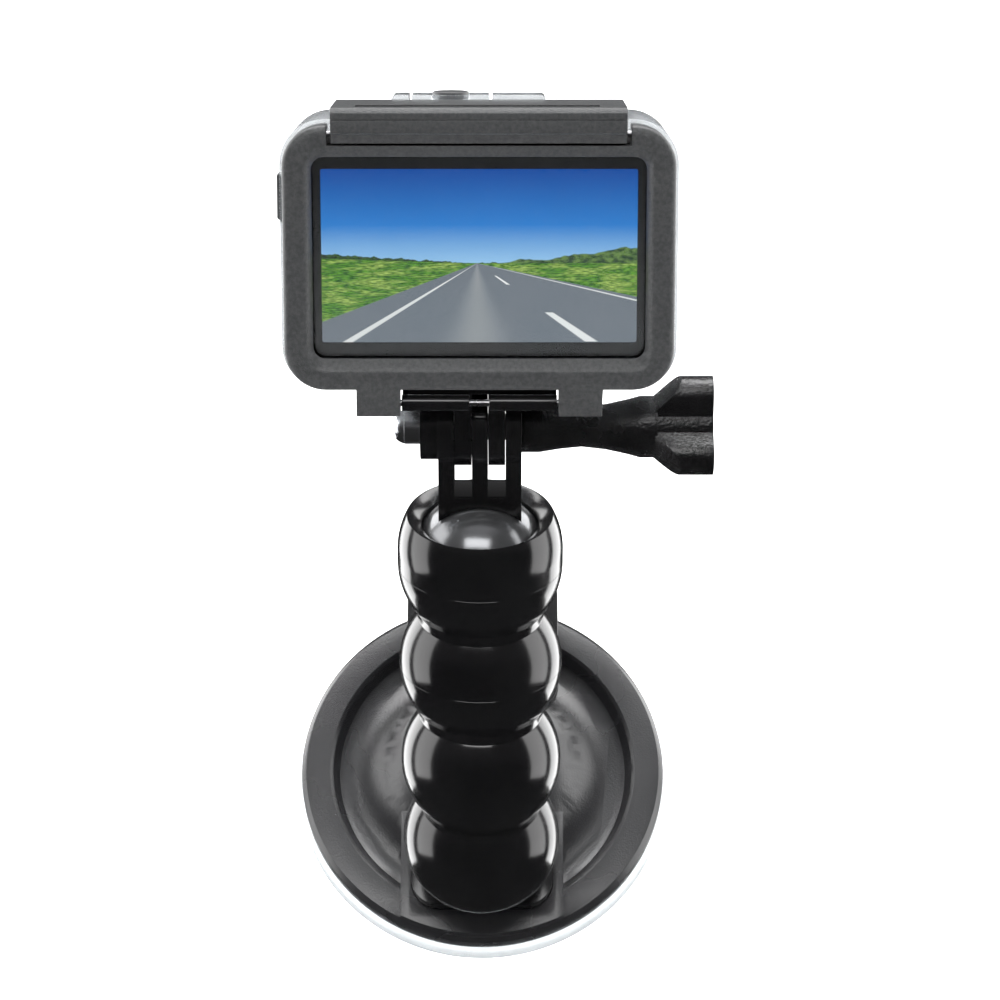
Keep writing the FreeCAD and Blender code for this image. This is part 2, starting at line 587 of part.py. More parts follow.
def cap_nut():
    """Bright domed nut, held from turning in the ear, threaded on the end of the clamp screw."""
    edge = "finger_pitch + finger_width / 2 + ear_length"
    barrel = cylinder("nut_barrel", "nut_radius", ("-(%s) - nut_length + nut_radius * 0.8" % edge, "0", "fork_height"),
                      "nut_length - nut_radius * 0.8", "x")
    dome = sphere("nut_dome", "nut_radius", ("-(%s) - nut_length + nut_radius" % edge, "0", "fork_height"))
    bore = cylinder("nut_bore", "screw_radius", ("-(%s) - nut_length + 2.4" % edge, "0", "fork_height"), "20", "x")
    front = box("nut_front", ("-(%s)" % edge, "-6", "fork_height - 6"), ("0", "6", "fork_height + 6"))
    nut = fuse("nut_blank", cut("nut_cap", fuse("nut_round", barrel, dome), front), nut_hex("nut_flats", "0"))
    finish(cut("nut", nut, bore), "cap_nut", fork_frame)


# === thumbscrew: lengths run along X from the fork's right face ===================================
def thumb_knob():
    """Waisted stem and three-lobed head, moulded on the screw's end."""
    stem = turned("knob_stem_body", [
        ("0", "0"), ("knob_end_radius", "0"), ("knob_end_radius", "3.4"), ("knob_waist_radius + 0.4", "7"),
        ("knob_waist_radius", "11"), ("knob_waist_radius + 0.5", "15.5"), ("knob_collar_radius - 0.6", "19.6"),
        ("knob_collar_radius", "knob_stem - 3"), ("knob_collar_radius", "knob_stem"), ("0", "knob_stem")], "x")
    lobes = []
    for count in range(3):
        outward = FreeCAD.Rotation(FreeCAD.Vector(1, 0, 0), 120 * count + number("knob_turn"))
        along = FreeCAD.Rotation(FreeCAD.Vector(0, 0, 1), -90)
        lobes.append(slab("lobe_%d" % count, "lobe_width", "knob_radius", "lobe_width / 2.1", "knob_stem - 1",
                          "knob_stem + knob_head", ("0", "knob_radius / 2"), ("knob_stem - 1", "0", "0"),
                          outward.multiply(along)))
    flare = cone("flare", "knob_collar_radius - 0.4", "knob_radius + 5", ("knob_stem - 1", "0", "0"),
                 "knob_head + 1", "x")
    core = cylinder("knob_core", "knob_collar_radius - 0.6", ("knob_stem - 1", "0", "0"), "knob_head + 1", "x")
    bound_round = cylinder("knob_bound", "knob_radius", ("knob_stem - 1", "0", "0"), "knob_head + 1", "x")
    head = common("knob_head_body", fuse("knob_lobes", core, *lobes), flare, bound_round)
    bore = cylinder("knob_bore", "screw_radius", ("-1", "0", "0"), "knob_stem", "x")
    finish(cut("knob", fuse("knob_blank", stem, head), bore), "thumb_knob", screw_frame)


def clamp_screw():
    """Steel screw through all five fingers; its far end is in the nut."""
    whole = "2 * finger_pitch + finger_width"
    finish(cylinder("screw", "screw_radius - pin_gap", ("-(%s) - ear_length - 2.6" % whole, "0", "0"),
                    "%s + ear_length + 2.6 + knob_stem - 1.4" % whole, "x"), "clamp_screw", screw_frame)


# === housing: its frame is the clamp axis =========================================================
LENS = ("-port_side", "case_middle + port_rise")


def housing_front():
    """Housing shell open at the back, with the lens port, the catch ridge and the shutter tower."""
    outer = slab("case_outer", "case_width", "case_height", "case_corner", "-case_back", "case_front")
    inner = slab("case_inner", "case_width - 2 * case_wall", "case_height - 2 * case_wall",
                 "case_corner - case_wall", "-case_back - 1", "case_front - case_wall")
    port = cylinder("port", "port_radius", (LENS[0], "case_front - 1", LENS[1]), "port_length + 1", "y")
    port_bore = cylinder("port_bore", "port_radius - port_wall", (LENS[0], "0", LENS[1]), "60", "y")
    top = "case_middle + case_height / 2"
    tower = slab("tower", "tower_width", "tower_height + 2", "0.9", "case_front - 1.6 - tower_depth", "case_front - 1.6",
                 ("-tower_shift", "%s + tower_height / 2 - 1" % top))
    notches = [
        box("tower_notch_" + side, ("%s - 0.3" % across, "0", "%s + tower_height - 1.4" % top),
            ("%s + 0.3" % across, "case_front", "%s + tower_height + 1" % top))
        for side, across in (("left", "-shutter_side - 7.3"), ("right", "-shutter_side + 7.3"))]
    catch = catch_ridge(top)
    shutter_hole = cylinder("shutter_hole", "shutter_radius + button_gap",
                            ("-shutter_side", "case_front - 1.6 - tower_depth / 2", top + " - 4"), "20")
    key_hole = box("key_hole", ("-case_width / 2 - 1", "-key_depth / 2 - button_gap",
                                "case_middle + key_rise - key_height / 2 - button_gap"),
                   ("-case_width / 2 + case_wall + 1", "key_depth / 2 + button_gap",
                    "case_middle + key_rise + key_height / 2 + button_gap"))
    shell = cut("case_shell", outer, inner)
    blank = fuse("case_blank", shell, port, catch, tower)
    finish(cut("case", blank, port_bore, shutter_hole, key_hole, *notches), "housing_front", head_frame)


def housing_foot():
    """Plate welded under the housing, with its two clamp fingers and the hinge barrels."""
    bottom = "case_middle - case_height / 2"
    prongs = []
    for side, across in (("left", "-finger_pitch / 2"), ("right", "finger_pitch / 2")):
        low = "%s - prong_width / 2" % across
        high = "%s + prong_width / 2" % across
        prongs.append(cylinder("prong_end_" + side, "finger_radius - 0.2", (low, "0", "0"), "prong_width", "x"))
        prongs.append(box("prong_web_" + side, (low, "-finger_radius + 0.2", "0"),
                          (high, "finger_radius - 0.2", bottom + " - 0.5")))
    screw_hole = cylinder("prong_hole", "screw_radius + screw_gap", ("-9", "0", "0"), "18", "x")
    barrels = []
    for side, low, high in (("left", "-barrel_outer", "-barrel_inner"), ("right", "barrel_inner", "barrel_outer")):
        barrels.append(cylinder("barrel_" + side, "barrel_radius", (low, "-case_back - 2.6", "hinge_height"),
                                "barrel_outer - barrel_inner", "x"))
        barrels.append(box("barrel_web_" + side, (low, "-case_back - 2.6", "hinge_height - barrel_radius + 0.5"),
                           (high, "-case_back + 2", "hinge_height + 1")))
        barrels.append(box("barrel_rise_" + side, (low, "-case_back + 0.4", "hinge_height - barrel_radius + 0.5"),
                           (high, "-case_back + 2", bottom + " - 0.5")))
    pin_bore = cylinder("barrel_bore", "pin_radius", ("-20", "-case_back - 2.6", "hinge_height"), "40", "x")
    plate = box("foot_pad", ("-barrel_outer", "-case_back + 0.4", bottom + " - 0.9"),
                ("barrel_outer", "finger_radius - 0.2", bottom + " - 0.03"))
    finish(cut("foot_of_case", fuse("foot_of_case_blank", plate, *prongs, *barrels), screw_hole, pin_bore),
           "housing_foot", head_frame)


def catch_ridge(top):
    """Low ridge across the housing's top, sloped in front so that the latch's hook rides over it."""
    body = doc.addObject("PartDesign::Body", "catch")
    sketch = outline(body, "YZ_Plane", [
        ("-case_back + 6.4", top + " - 0.5"), ("-case_back + 11", top + " - 0.5"), ("-case_back + 11", top + " + 0.2"),
        ("-case_back + 7.8", top + " + catch_height"), ("-case_back + 6.4", top + " + catch_height")])
    pad = body.newObject("PartDesign::Pad", "catch_pad")
    pad.Profile = sketch
    pad.setExpression("Length", bound("latch_width - 14"))
    return put(body, ("-latch_width / 2 + 7", "0", "0"))


def lens_port():
    """Flat glass in the port's mouth, and the screwed ring that holds it."""
    depth = "case_front + port_length"
    finish(cylinder("port_pane", "port_radius - port_wall - 0.02",
                    (LENS[0], "%s - 1.4 - glass_thick" % depth, LENS[1]), "glass_thick", "y"),
           "lens_port_glass", head_frame)
    ring = cylinder("ring_outer", "port_radius - port_wall - 0.02", (LENS[0], "%s - 1.4" % depth, LENS[1]), "2.2", "y")
    hole = cylinder("ring_inner", "port_radius - port_wall - 1.6", (LENS[0], "%s - 2" % depth, LENS[1]), "4", "y")
    finish(cut("ring", ring, hole), "lens_port_ring", head_frame)


def buttons():
    """Side key and shutter button; each slides through the housing to press the camera."""
    key = slab("key_cap", "key_proud + case_wall + 0.4", "key_height", "0.5", "-key_depth / 2", "key_depth / 2",
               ("-case_width / 2 - key_proud + (key_proud + case_wall + 0.4) / 2", "case_middle + key_rise"))
    finish(key, "side_key", head_frame)
    top = "case_middle + case_height / 2 + tower_height"
    cap = cylinder("shutter_cap", "shutter_radius", ("-shutter_side", "case_front - 1.6 - tower_depth / 2",
                                                     top + " - tower_height - 1.4"), "tower_height + 1.4 + shutter_proud")
    finish(cap, "shutter_button", head_frame)


# === camera inside the housing ====================================================================
def camera():
    """Camera case, screen module, board, battery, sensor and lens, as one stack."""
    outer = slab("camera_outer", "camera_width", "camera_height", "5", "-case_back + 2.6", "case_front - case_wall - 1")
    inner = slab("camera_inner", "camera_width - 2 * camera_wall", "camera_height - 2 * camera_wall",
                 "3.6", "-case_back + 2", "case_front - case_wall - 1 - camera_wall")
    lens_hole = cylinder("camera_hole", "barrel_size + 0.2", (LENS[0], "0", LENS[1]), "40", "y")
    finish(cut("camera_shell", outer, inner, lens_hole), "camera_case", head_frame)
    bezel = slab("bezel_outer", "window_width + 0.6", "window_height + 0.6", "window_corner",
                 "-case_back - 0.2", "-case_back + 2.4")
    opening = slab("bezel_inner", "screen_width", "screen_height", "0.4", "-case_back - 1", "-case_back + 3")
    finish(cut("bezel", bezel, opening), "screen_bezel", head_frame)
    finish(slab("screen", "screen_width - 0.04", "screen_height - 0.04", "0.35", "-case_back + 0.3",
                "-case_back + 0.3 + screen_thick"), "screen_panel", head_frame)
    finish(slab("board", "camera_width - 8", "camera_height - 8", "2", "-case_back + 5", "-case_back + 5 + board_thick"),
           "main_board", head_frame)
    battery = box("cell", ("4", "-case_back + 6.8", "case_middle - battery_height / 2"),
                  ("4 + battery_width", "-case_back + 6.8 + battery_thick", "case_middle + battery_height / 2"))
    finish(battery, "battery", head_frame)
    sensor = box("chip", ("-port_side - 5", "-case_back + 5 + board_thick", "case_middle + port_rise - 4"),
                 ("-port_side + 5", "-case_back + 6.4 + board_thick", "case_middle + port_rise + 4"))
    finish(sensor, "image_sensor", head_frame)
    start = "-case_back + 6.6 + board_thick"
    tube = cylinder("tube_outer", "barrel_size", (LENS[0], start, LENS[1]), "case_front + 3 - (%s)" % start, "y")
    bore = cylinder("tube_inner", "barrel_size - 1.6", (LENS[0], "-20", LENS[1]), "60", "y")
    finish(cut("tube", tube, bore), "lens_barrel", head_frame)
    glass = cylinder("front_blank", "barrel_size - 1.62", (LENS[0], "case_front - 1", LENS[1]), "4", "y")
    curve = sphere("front_curve", "12", (LENS[0], "case_front + 2.8 - 12", LENS[1]))
    finish(common("front_lens", glass, curve), "front_lens", head_frame)


# === back door, hung on its pin under the housing =================================================
def door():
    """Door frame with its window, gasket groove, hinge lugs and the notch for the latch."""
    back = "-case_back - door_thick"
    face = slab("door_outer", "case_width - 2 * rim_gap", "case_height - 2 * rim_gap", "door_corner", back, "-case_back - 0.05")
    hole = slab("door_hole", "window_width", "window_height", "window_corner", back + " - 1", "-case_back + 1")
    step = slab("door_step", "window_width + 2.4", "window_height + 2.4", "window_corner + 1.2",
                back + " + 2", "-case_back + 1")
    bevel = window_bevel(back)
    notch = box("door_notch", ("-latch_recess", back + " - 1", "case_middle + latch_bottom - 0.4"),
                ("latch_recess", "-case_back + 1", "case_middle + case_height"))
    lugs = []
    drop = "hinge_height - barrel_radius - 0.6"
    for side, low, high in (("left", "-lug_outer", "-lug_inner"), ("right", "lug_inner", "lug_outer")):
        lugs.append(box("lug_" + side, (low, back + " + 0.4", drop),
                        (high, "-case_back - 0.4", "case_middle - case_height / 2 + 4")))
    pin_bore = cylinder("lug_bore", "pin_radius + pin_gap", ("-25", "-case_back - 2.6", "hinge_height"), "50", "x")
    groove = gasket_ring("groove", "-case_back - gasket_thick", "-case_back + 1")
    latch_bore = cylinder("door_latch_bore", "pin_radius", ("-31", "-case_back - latch_set", "case_middle + latch_pivot"),
                          "62", "x")
    blank = fuse("door_blank", face, *lugs)
    finish(cut("door_body", blank, hole, step, bevel, notch, pin_bore, groove, latch_bore), "door_frame", head_frame)
    pane = slab("pane", "window_width + 2.36", "window_height + 2.36", "window_corner + 1.18",
                back + " + 2.02", back + " + 2.02 + window_thick")
    finish(pane, "door_window", head_frame)
    finish(gasket_ring("seal", "-case_back - gasket_thick + 0.02", "-case_back - 0.03"), "door_gasket", head_frame)


def window_bevel(back):
    """Slope round the window, from the door's face in to the pane."""
    body = doc.addObject("PartDesign::Body", "window_slope")
    sketches = []
    for count, grow in enumerate(("bevel_width", "0")):
        half = "window_width / 2 + %s" % grow
        tall = "window_height / 2 + %s" % grow
        corners = [("%s(%s)" % (x, half), "case_middle %s (%s)" % (z, tall))
                   for x, z in (("-", "-"), ("", "-"), ("", "+"), ("-", "+"))]
        sketch = outline(body, "XZ_Plane", corners)
        sketch.AttachmentOffset = FreeCAD.Placement(FreeCAD.Vector(0, 0, -1.4 * count), UPRIGHT)
        sketches.append(sketch)
    loft = body.newObject("PartDesign::AdditiveLoft", "window_slope_loft")
    loft.Profile = sketches[0]
    loft.Sections = [sketches[1]]
    return put(body, ("0", back, "0"))


def gasket_ring(name, back, front):
    """Rounded ring that lies over the housing's wall."""
    outer = slab(name + "_outer", "window_width + 2 * gasket_width + 4.4", "window_height + 2 * gasket_width + 4.4",
                 "window_corner + 4", back, front)
    inner = slab(name + "_inner", "window_width + 4.4", "window_height + 4.4", "window_corner + 2.2",
                 back + " - 1", front + " + 1")
    return cut(name, outer, inner)


def hinge_pin():
    """Steel pin pressed in the housing's barrels; the door's lugs turn on it."""
    finish(cylinder("door_pin", "pin_radius", ("-lug_outer + 0.6", "-case_back - 2.6", "hinge_height"),
                    "2 * lug_outer - 1.2", "x"), "hinge_pin", head_frame)


# === latch on the door ============================================================================
def latch():
    """Bar along the top of the door, with a long finger groove and a hook behind the catch block."""
    back = "-case_back - door_thick - 1.6"
    body = doc.addObject("PartDesign::Body", "bar")
    middle = "case_middle"
    top = "case_middle + case_height / 2"
    pin = "-case_back - latch_set"
    tip = "latch_reach - case_back - 2.6"
    sketch = outline(body, "YZ_Plane", [
        ("-case_back - 1.4", middle + " + latch_bottom + 0.1"), ("%s - 1" % pin, middle + " + latch_bottom"),
        ("%s - 1.9" % pin, middle + " + latch_pivot"), (back, middle + " + latch_pivot + 0.3"),
        (back, middle + " + latch_top - 1"),
        ("%s + 0.8" % back, middle + " + latch_top - 0.1"), ("%s + 2" % back, middle + " + latch_top"),
        (tip, middle + " + latch_top"), (tip, "%s + hook_gap" % top), ("%s - 1.8" % tip, "%s + hook_gap" % top),
        ("%s - 1.8" % tip, "%s + catch_height + 0.45" % top), ("-case_back + 3.6", "%s + catch_height + 0.45" % top),
        ("-case_back + 3.6", "%s + hook_gap" % top), ("-case_back - 0.6", "%s + hook_gap" % top)])
    pad = body.newObject("PartDesign::Pad", "bar_pad")
    pad.Profile = sketch
    pad.setExpression("Length", bound("latch_width"))
    put(body, ("-latch_width / 2", "0", "0"))
    bore = cylinder("bar_bore", "pin_radius + pin_gap", ("-40", pin, middle + " + latch_pivot"), "80", "x")
    groove = box("bar_groove", ("-groove_length / 2 - 0.3", "%s + 2.1" % back, middle + " + latch_top - 0.5"),
                 ("groove_length / 2 - 0.3", "%s + 7.6" % back, middle + " + latch_top + 1"))
    line = box("bar_line", ("-latch_width", "%s - 1" % back, middle + " + latch_top - 2.3"),
               ("latch_width", "%s + 0.15" % back, middle + " + latch_top - 2.1"))
    finish(cut("bar_body", body, bore, groove, line), "latch_bar", head_frame)
    finish(cylinder("bar_pin", "pin_radius", ("-latch_recess - 1.6", pin, middle + " + latch_pivot"),
                    "2 * latch_recess + 3.2", "x"), "latch_pin", head_frame)


screw_frame = leaned(clamp_point + FreeCAD.Vector(number("finger_pitch + finger_width / 2 + 0.05"), 0, 0), 0)

suction_cup()
cup_boss()
draw_stud()
spring_washer()
base_shell()
arm_foot()
foot_screws()
cam_lever()
lever_pin()
lowest_body()
for count in (4, 3, 2, 1):
    segment_cap(count)
for count in (3, 2, 1):
    segment_body(count)
    segment_stud(count)
fork_mount()
cap_nut()
thumb_knob()
clamp_screw()
housing_front()
housing_foot()
lens_port()
buttons()
camera()
door()
hinge_pin()
latch()
doc.recompute()

# --- every object is sound, every sub-part is one valid shape, and only then is anything written -------
for item in doc.Objects:
    if {"Invalid", "Error"} & set(item.State):
        raise RuntimeError("%s did not build: %s" % (item.Name, item.State))
for piece in pieces:
    if piece.Shape.isNull() or not piece.Shape.isValid():
        raise RuntimeError("%s has no valid shape" % piece.Label)
os.makedirs("parts", exist_ok=True)
for piece in pieces:
    piece.Shape.exportStep(os.path.join("parts", piece.Label + ".step"))
print("%d pieces written" % len(pieces))
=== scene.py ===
import json
import math
import bpy
from mathutils import Matrix, Vector


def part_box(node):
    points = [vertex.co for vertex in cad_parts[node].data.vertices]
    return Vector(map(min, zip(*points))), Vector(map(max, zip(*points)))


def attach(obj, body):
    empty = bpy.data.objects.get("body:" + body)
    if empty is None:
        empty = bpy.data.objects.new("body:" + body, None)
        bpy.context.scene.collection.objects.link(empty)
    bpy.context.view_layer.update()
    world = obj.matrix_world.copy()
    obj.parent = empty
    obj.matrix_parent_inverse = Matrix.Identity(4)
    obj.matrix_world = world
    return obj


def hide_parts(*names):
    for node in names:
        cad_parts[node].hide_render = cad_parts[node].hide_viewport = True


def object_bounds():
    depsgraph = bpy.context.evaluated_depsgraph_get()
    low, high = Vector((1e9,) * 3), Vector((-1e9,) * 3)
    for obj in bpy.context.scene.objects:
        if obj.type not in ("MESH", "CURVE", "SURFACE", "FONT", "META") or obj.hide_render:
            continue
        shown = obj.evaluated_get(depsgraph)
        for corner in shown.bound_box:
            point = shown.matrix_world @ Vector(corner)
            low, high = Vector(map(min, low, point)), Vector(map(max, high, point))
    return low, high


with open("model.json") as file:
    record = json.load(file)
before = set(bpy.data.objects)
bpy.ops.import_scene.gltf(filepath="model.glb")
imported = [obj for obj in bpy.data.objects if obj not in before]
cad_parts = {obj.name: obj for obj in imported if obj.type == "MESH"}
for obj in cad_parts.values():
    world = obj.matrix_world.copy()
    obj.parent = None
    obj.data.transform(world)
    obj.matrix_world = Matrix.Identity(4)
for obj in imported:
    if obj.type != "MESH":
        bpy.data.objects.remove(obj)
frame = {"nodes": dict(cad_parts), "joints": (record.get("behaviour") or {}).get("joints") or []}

cad_low, cad_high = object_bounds()

# === Suction cup ==================================================================================
# A soft clear rubber disc, hollow underneath, with a thin sealing lip. It is moulded in one shot and
# its middle is moulded round the foot of the plunger that draws it up.
MM = 0.001
joints = {joint["name"]: joint for joint in frame["joints"]}


def leaning_place(point, direction):
    """Place whose upright axis lies along a direction and whose sideways axis stays level."""
    up = Vector(direction).normalized()
    side = Vector((1, 0, 0))
    ahead = up.cross(side)
    turn = Matrix((side, ahead, up)).transposed().to_4x4()
    return Matrix.Translation(Vector(point)) @ turn


def smooth_below(piece, degrees):
    """Shades a piece smooth, but keeps edges that turn more than this many degrees crisp."""
    bpy.ops.object.select_all(action="DESELECT")
    piece.select_set(True)
    bpy.context.view_layer.objects.active = piece
    bpy.ops.object.shade_smooth_by_angle(angle=math.radians(degrees))


def drawn_up(name, rings, place, sides=96, crisp=32):
    """Round body, drawn up ring by ring from (radius, height) pairs in millimetres, then set in place."""
    bpy.ops.object.select_all(action="DESELECT")
    radii = [max(radius, 0.01) * MM for radius, height in rings]
    heights = [height * MM for radius, height in rings]
    bpy.ops.mesh.primitive_circle_add(vertices=sides, radius=radii[0], location=(0, 0, heights[0]))
    piece = bpy.context.object
    piece.name = name
    piece.data.name = name
    bpy.ops.object.mode_set(mode="EDIT")
    bpy.ops.mesh.select_all(action="SELECT")
    for count in range(1, len(rings)):
        rise = heights[count] - heights[count - 1]
        grow = radii[count] / radii[count - 1]
        bpy.ops.mesh.extrude_region_move(TRANSFORM_OT_translate={"value": (0, 0, rise)})
        bpy.ops.transform.resize(value=(grow, grow, 1), center_override=(0, 0, 0))
    bpy.ops.mesh.select_all(action="SELECT")
    bpy.ops.mesh.remove_doubles(threshold=0.012 * MM)
    bpy.ops.mesh.normals_make_consistent(inside=False)
    bpy.ops.object.mode_set(mode="OBJECT")
    piece.matrix_world = place @ piece.matrix_world
    bpy.ops.object.transform_apply(location=True, rotation=True, scale=True)
    smooth_below(piece, crisp)
    return piece


def bowed(radius, centre, first, last, steps):
    """Rings along an arc, from one angle off the upright axis to another, in degrees."""
    rings = []
    for count in range(steps + 1):
        angle = math.radians(first + (last - first) * count / steps)
        rings.append((radius * math.sin(angle), centre + radius * math.cos(angle)))
    return rings


def fit(piece, body, slot, material, *nodes):
    """Gives a finished piece its material and its body, and hides the CAD nodes that it stands for."""
    piece.data.materials.clear()
    piece.data.materials.append(material)
    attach(piece, body)
    if nodes:
        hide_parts(*nodes)


def tone(red, green, blue):
    """A colour named by its screen values, as the light values that a shader takes."""
    scaled = [value / 255 for value in (red, green, blue)]
    light = [((value + 0.055) / 1.055) ** 2.4 if value > 0.04 else value / 12.92 for value in scaled]
    return (*light, 1.0)


def surface_group():
    """Shared effect: fine grain in the height, slow clouding of the colour and uneven gloss."""
    group = bpy.data.node_groups.new("moulded_surface", "ShaderNodeTree")
    taken = {"Vector": "Vector", "Colour": "Color", "Second Colour": "Color", "Grain": "Float",
             "Depth": "Float", "Gloss Low": "Float", "Gloss High": "Float", "Clouds": "Float"}
    for title, kind in taken.items():
        group.interface.new_socket(title, in_out="INPUT", socket_type="NodeSocket" + kind)
    for title, kind in (("Colour", "Color"), ("Roughness", "Float"), ("Normal", "Vector")):
        group.interface.new_socket(title, in_out="OUTPUT", socket_type="NodeSocket" + kind)
    nodes, links = group.nodes, group.links
    given = nodes.new("NodeGroupInput")
    result = nodes.new("NodeGroupOutput")
    fine = nodes.new("ShaderNodeTexNoise")
    fine.inputs["Detail"].default_value = 4
    links.new(given.outputs["Vector"], fine.inputs["Vector"])
    links.new(given.outputs["Grain"], fine.inputs["Scale"])
    slow = nodes.new("ShaderNodeTexNoise")
    slow.inputs["Detail"].default_value = 3
    slow.inputs["Roughness"].default_value = 0.6
    links.new(given.outputs["Vector"], slow.inputs["Vector"])
    links.new(given.outputs["Clouds"], slow.inputs["Scale"])
    spread = nodes.new("ShaderNodeMapRange")
    spread.inputs["From Min"].default_value = 0.35
    spread.inputs["From Max"].default_value = 0.65
    links.new(slow.outputs["Fac"], spread.inputs["Value"])
    colour = nodes.new("ShaderNodeMix")
    colour.data_type = "RGBA"
    links.new(spread.outputs["Result"], colour.inputs["Factor"])
    links.new(given.outputs["Colour"], colour.inputs[6])
    links.new(given.outputs["Second Colour"], colour.inputs[7])
    links.new(colour.outputs[2], result.inputs["Colour"])
    gloss = nodes.new("ShaderNodeMapRange")
    gloss.inputs["From Min"].default_value = 0.3
    gloss.inputs["From Max"].default_value = 0.7
    links.new(slow.outputs["Fac"], gloss.inputs["Value"])
    links.new(given.outputs["Gloss Low"], gloss.inputs["To Min"])
    links.new(given.outputs["Gloss High"], gloss.inputs["To Max"])
    links.new(gloss.outputs["Result"], result.inputs["Roughness"])
    bump = nodes.new("ShaderNodeBump")
    bump.inputs["Distance"].default_value = 0.0002
    links.new(given.outputs["Depth"], bump.inputs["Strength"])
    links.new(fine.outputs["Fac"], bump.inputs["Height"])
    links.new(bump.outputs["Normal"], result.inputs["Normal"])
    return group


moulded_surface = surface_group()


def moulded(name, colour, second, gloss, grain, depth, clouds=60, **settings):
    """Material with the shared surface effect; settings go straight on to the shader."""
    material = bpy.data.materials.new(name)
    material.use_nodes = True
    nodes, links = material.node_tree.nodes, material.node_tree.links
    shader = nodes["Principled BSDF"]
    place = nodes.new("ShaderNodeTexCoord")
    effect = nodes.new("ShaderNodeGroup")
    effect.node_tree = moulded_surface
    links.new(place.outputs["Object"], effect.inputs["Vector"])
    effect.inputs["Colour"].default_value = colour
    effect.inputs["Second Colour"].default_value = second
    effect.inputs["Gloss Low"].default_value = gloss[0]
    effect.inputs["Gloss High"].default_value = gloss[1]
    effect.inputs["Grain"].default_value = grain
    effect.inputs["Depth"].default_value = depth
    effect.inputs["Clouds"].default_value = clouds
    links.new(effect.outputs["Colour"], shader.inputs["Base Color"])
    links.new(effect.outputs["Roughness"], shader.inputs["Roughness"])
    links.new(effect.outputs["Normal"], shader.inputs["Normal"])
    for title, value in settings.items():
        shader.inputs[title.replace("_", " ")].default_value = value
    return material


clear_rubber = moulded("clear_rubber", tone(236, 240, 242), tone(222, 228, 231), (0.16, 0.3),
                       900, 0.08, Transmission_Weight=0.85, IOR=1.42)
base_place = leaning_place((0, 0, 0), joints["plunger_drop"]["axis"])
cup_rings = [(10.3, 1.8), (20, 1.45), (30, 0.8), (37, 0.05), (38.7, 0.0), (39, 0.25), (38.9, 1.0),
             (38.3, 1.8), (37.6, 2.6), (36.8, 3.0), (24, 3.0), (10.3, 3.0), (10.3, 1.8)]
cup = drawn_up("suction_cup_disc", cup_rings, base_place, sides=128)
fit(cup, "base", "clear_rubber", clear_rubber, "suction_cup")
boss_rings = [(0, 1.8), (5, 1.85), (9.6, 1.8), (10, 2.1), (10, 3.0), (8.4, 3.9), (7.9, 4.0), (0, 4.0)]
boss = drawn_up("cup_middle", boss_rings, base_place)
fit(boss, "plunger", "clear_rubber", clear_rubber, "cup_boss")

# === Base shell ===================================================================================
# The satin dark-grey moulding that squeezes the cup: a flat flange, a ring moat, a middle dome and a
# raised block with a pocket for the arm's foot. Injection moulded, so every edge has a small radius.


def softened(node, name, edge, limit=34, segments=3, crisp=40):
    """Copy of a CAD piece with its doubled corners joined and its edges rounded by a small radius."""
    piece = bpy.data.objects.new(name, frame["nodes"][node].data.copy())
    piece.data.name = name
    bpy.context.scene.collection.objects.link(piece)
    bpy.ops.object.select_all(action="DESELECT")
    piece.select_set(True)
    bpy.context.view_layer.objects.active = piece
    bpy.ops.mesh.customdata_custom_splitnormals_clear()
    bpy.ops.object.mode_set(mode="EDIT")
    bpy.ops.mesh.select_all(action="SELECT")
    bpy.ops.mesh.remove_doubles(threshold=0.002 * MM)
    bpy.ops.mesh.dissolve_limited(angle_limit=math.radians(0.4))
    bpy.ops.object.mode_set(mode="OBJECT")
    bevel = piece.modifiers.new("small_radius", "BEVEL")
    bevel.width = edge * MM
    bevel.segments = segments
    bevel.limit_method = "ANGLE"
    bevel.angle_limit = math.radians(limit)
    bevel.use_clamp_overlap = True
    bpy.ops.object.modifier_apply(modifier="small_radius")
    smooth_below(piece, crisp)
    return piece


base_plastic = moulded("base_plastic", tone(38, 38, 40), tone(42, 42, 44), (0.26, 0.3), 2600, 0.22, clouds=25,
                       Specular_IOR_Level=0.8)
shell = softened("base_shell", "base_shell_moulding", 0.45, limit=24, crisp=60)
fit(shell, "base", "base_plastic", base_plastic, "base_shell")
plunger = softened("draw_stud", "plunger_post", 0.2)
fit(plunger, "plunger", "base_plastic", base_plastic, "draw_stud")

# === Small steel parts ============================================================================
# Cone spring under the shell, the foot's two screws, and the pins that the lever, the door and the latch
# turn on. All are plain turned or pressed steel with fine marks round them.


def turned_metal(name, colour, gloss, marks):
    """Metal with fine tool marks and slow patches of a darker tone."""
    darker = tuple(0.86 * value for value in colour[:3]) + (1.0,)
    return moulded(name, colour, darker, gloss, marks, 0.18, clouds=220, Metallic=1.0)


steel = turned_metal("turned_steel", tone(190, 190, 192), (0.22, 0.38), 5200)


def coat(material, *nodes):
    """Gives CAD nodes whose shape is right their material."""
    for node in nodes:
        mesh = frame["nodes"][node].data
        mesh.materials.clear()
        mesh.materials.append(material)


coat(steel, "spring_washer", "foot_screws", "lever_pin", "hinge_pin", "latch_pin", "clamp_screw")

# === Lever ========================================================================================
# Gloss-black cam lever: a finger tab with three grip ridges on a hub that turns on the pin. Lifting the
# tab lets the cup's middle drop and the base come off.
gloss_black = moulded("gloss_black", (0.0045, 0.0045, 0.005, 1.0), (0.0065, 0.0065, 0.007, 1.0), (0.13, 0.2),
                      420, 0.04, clouds=70, IOR=1.5, Coat_Weight=0.3, Coat_Roughness=0.12)
lever = softened("cam_lever", "lever_tab", 0.35)
fit(lever, "lever", "gloss_black", gloss_black, "cam_lever")

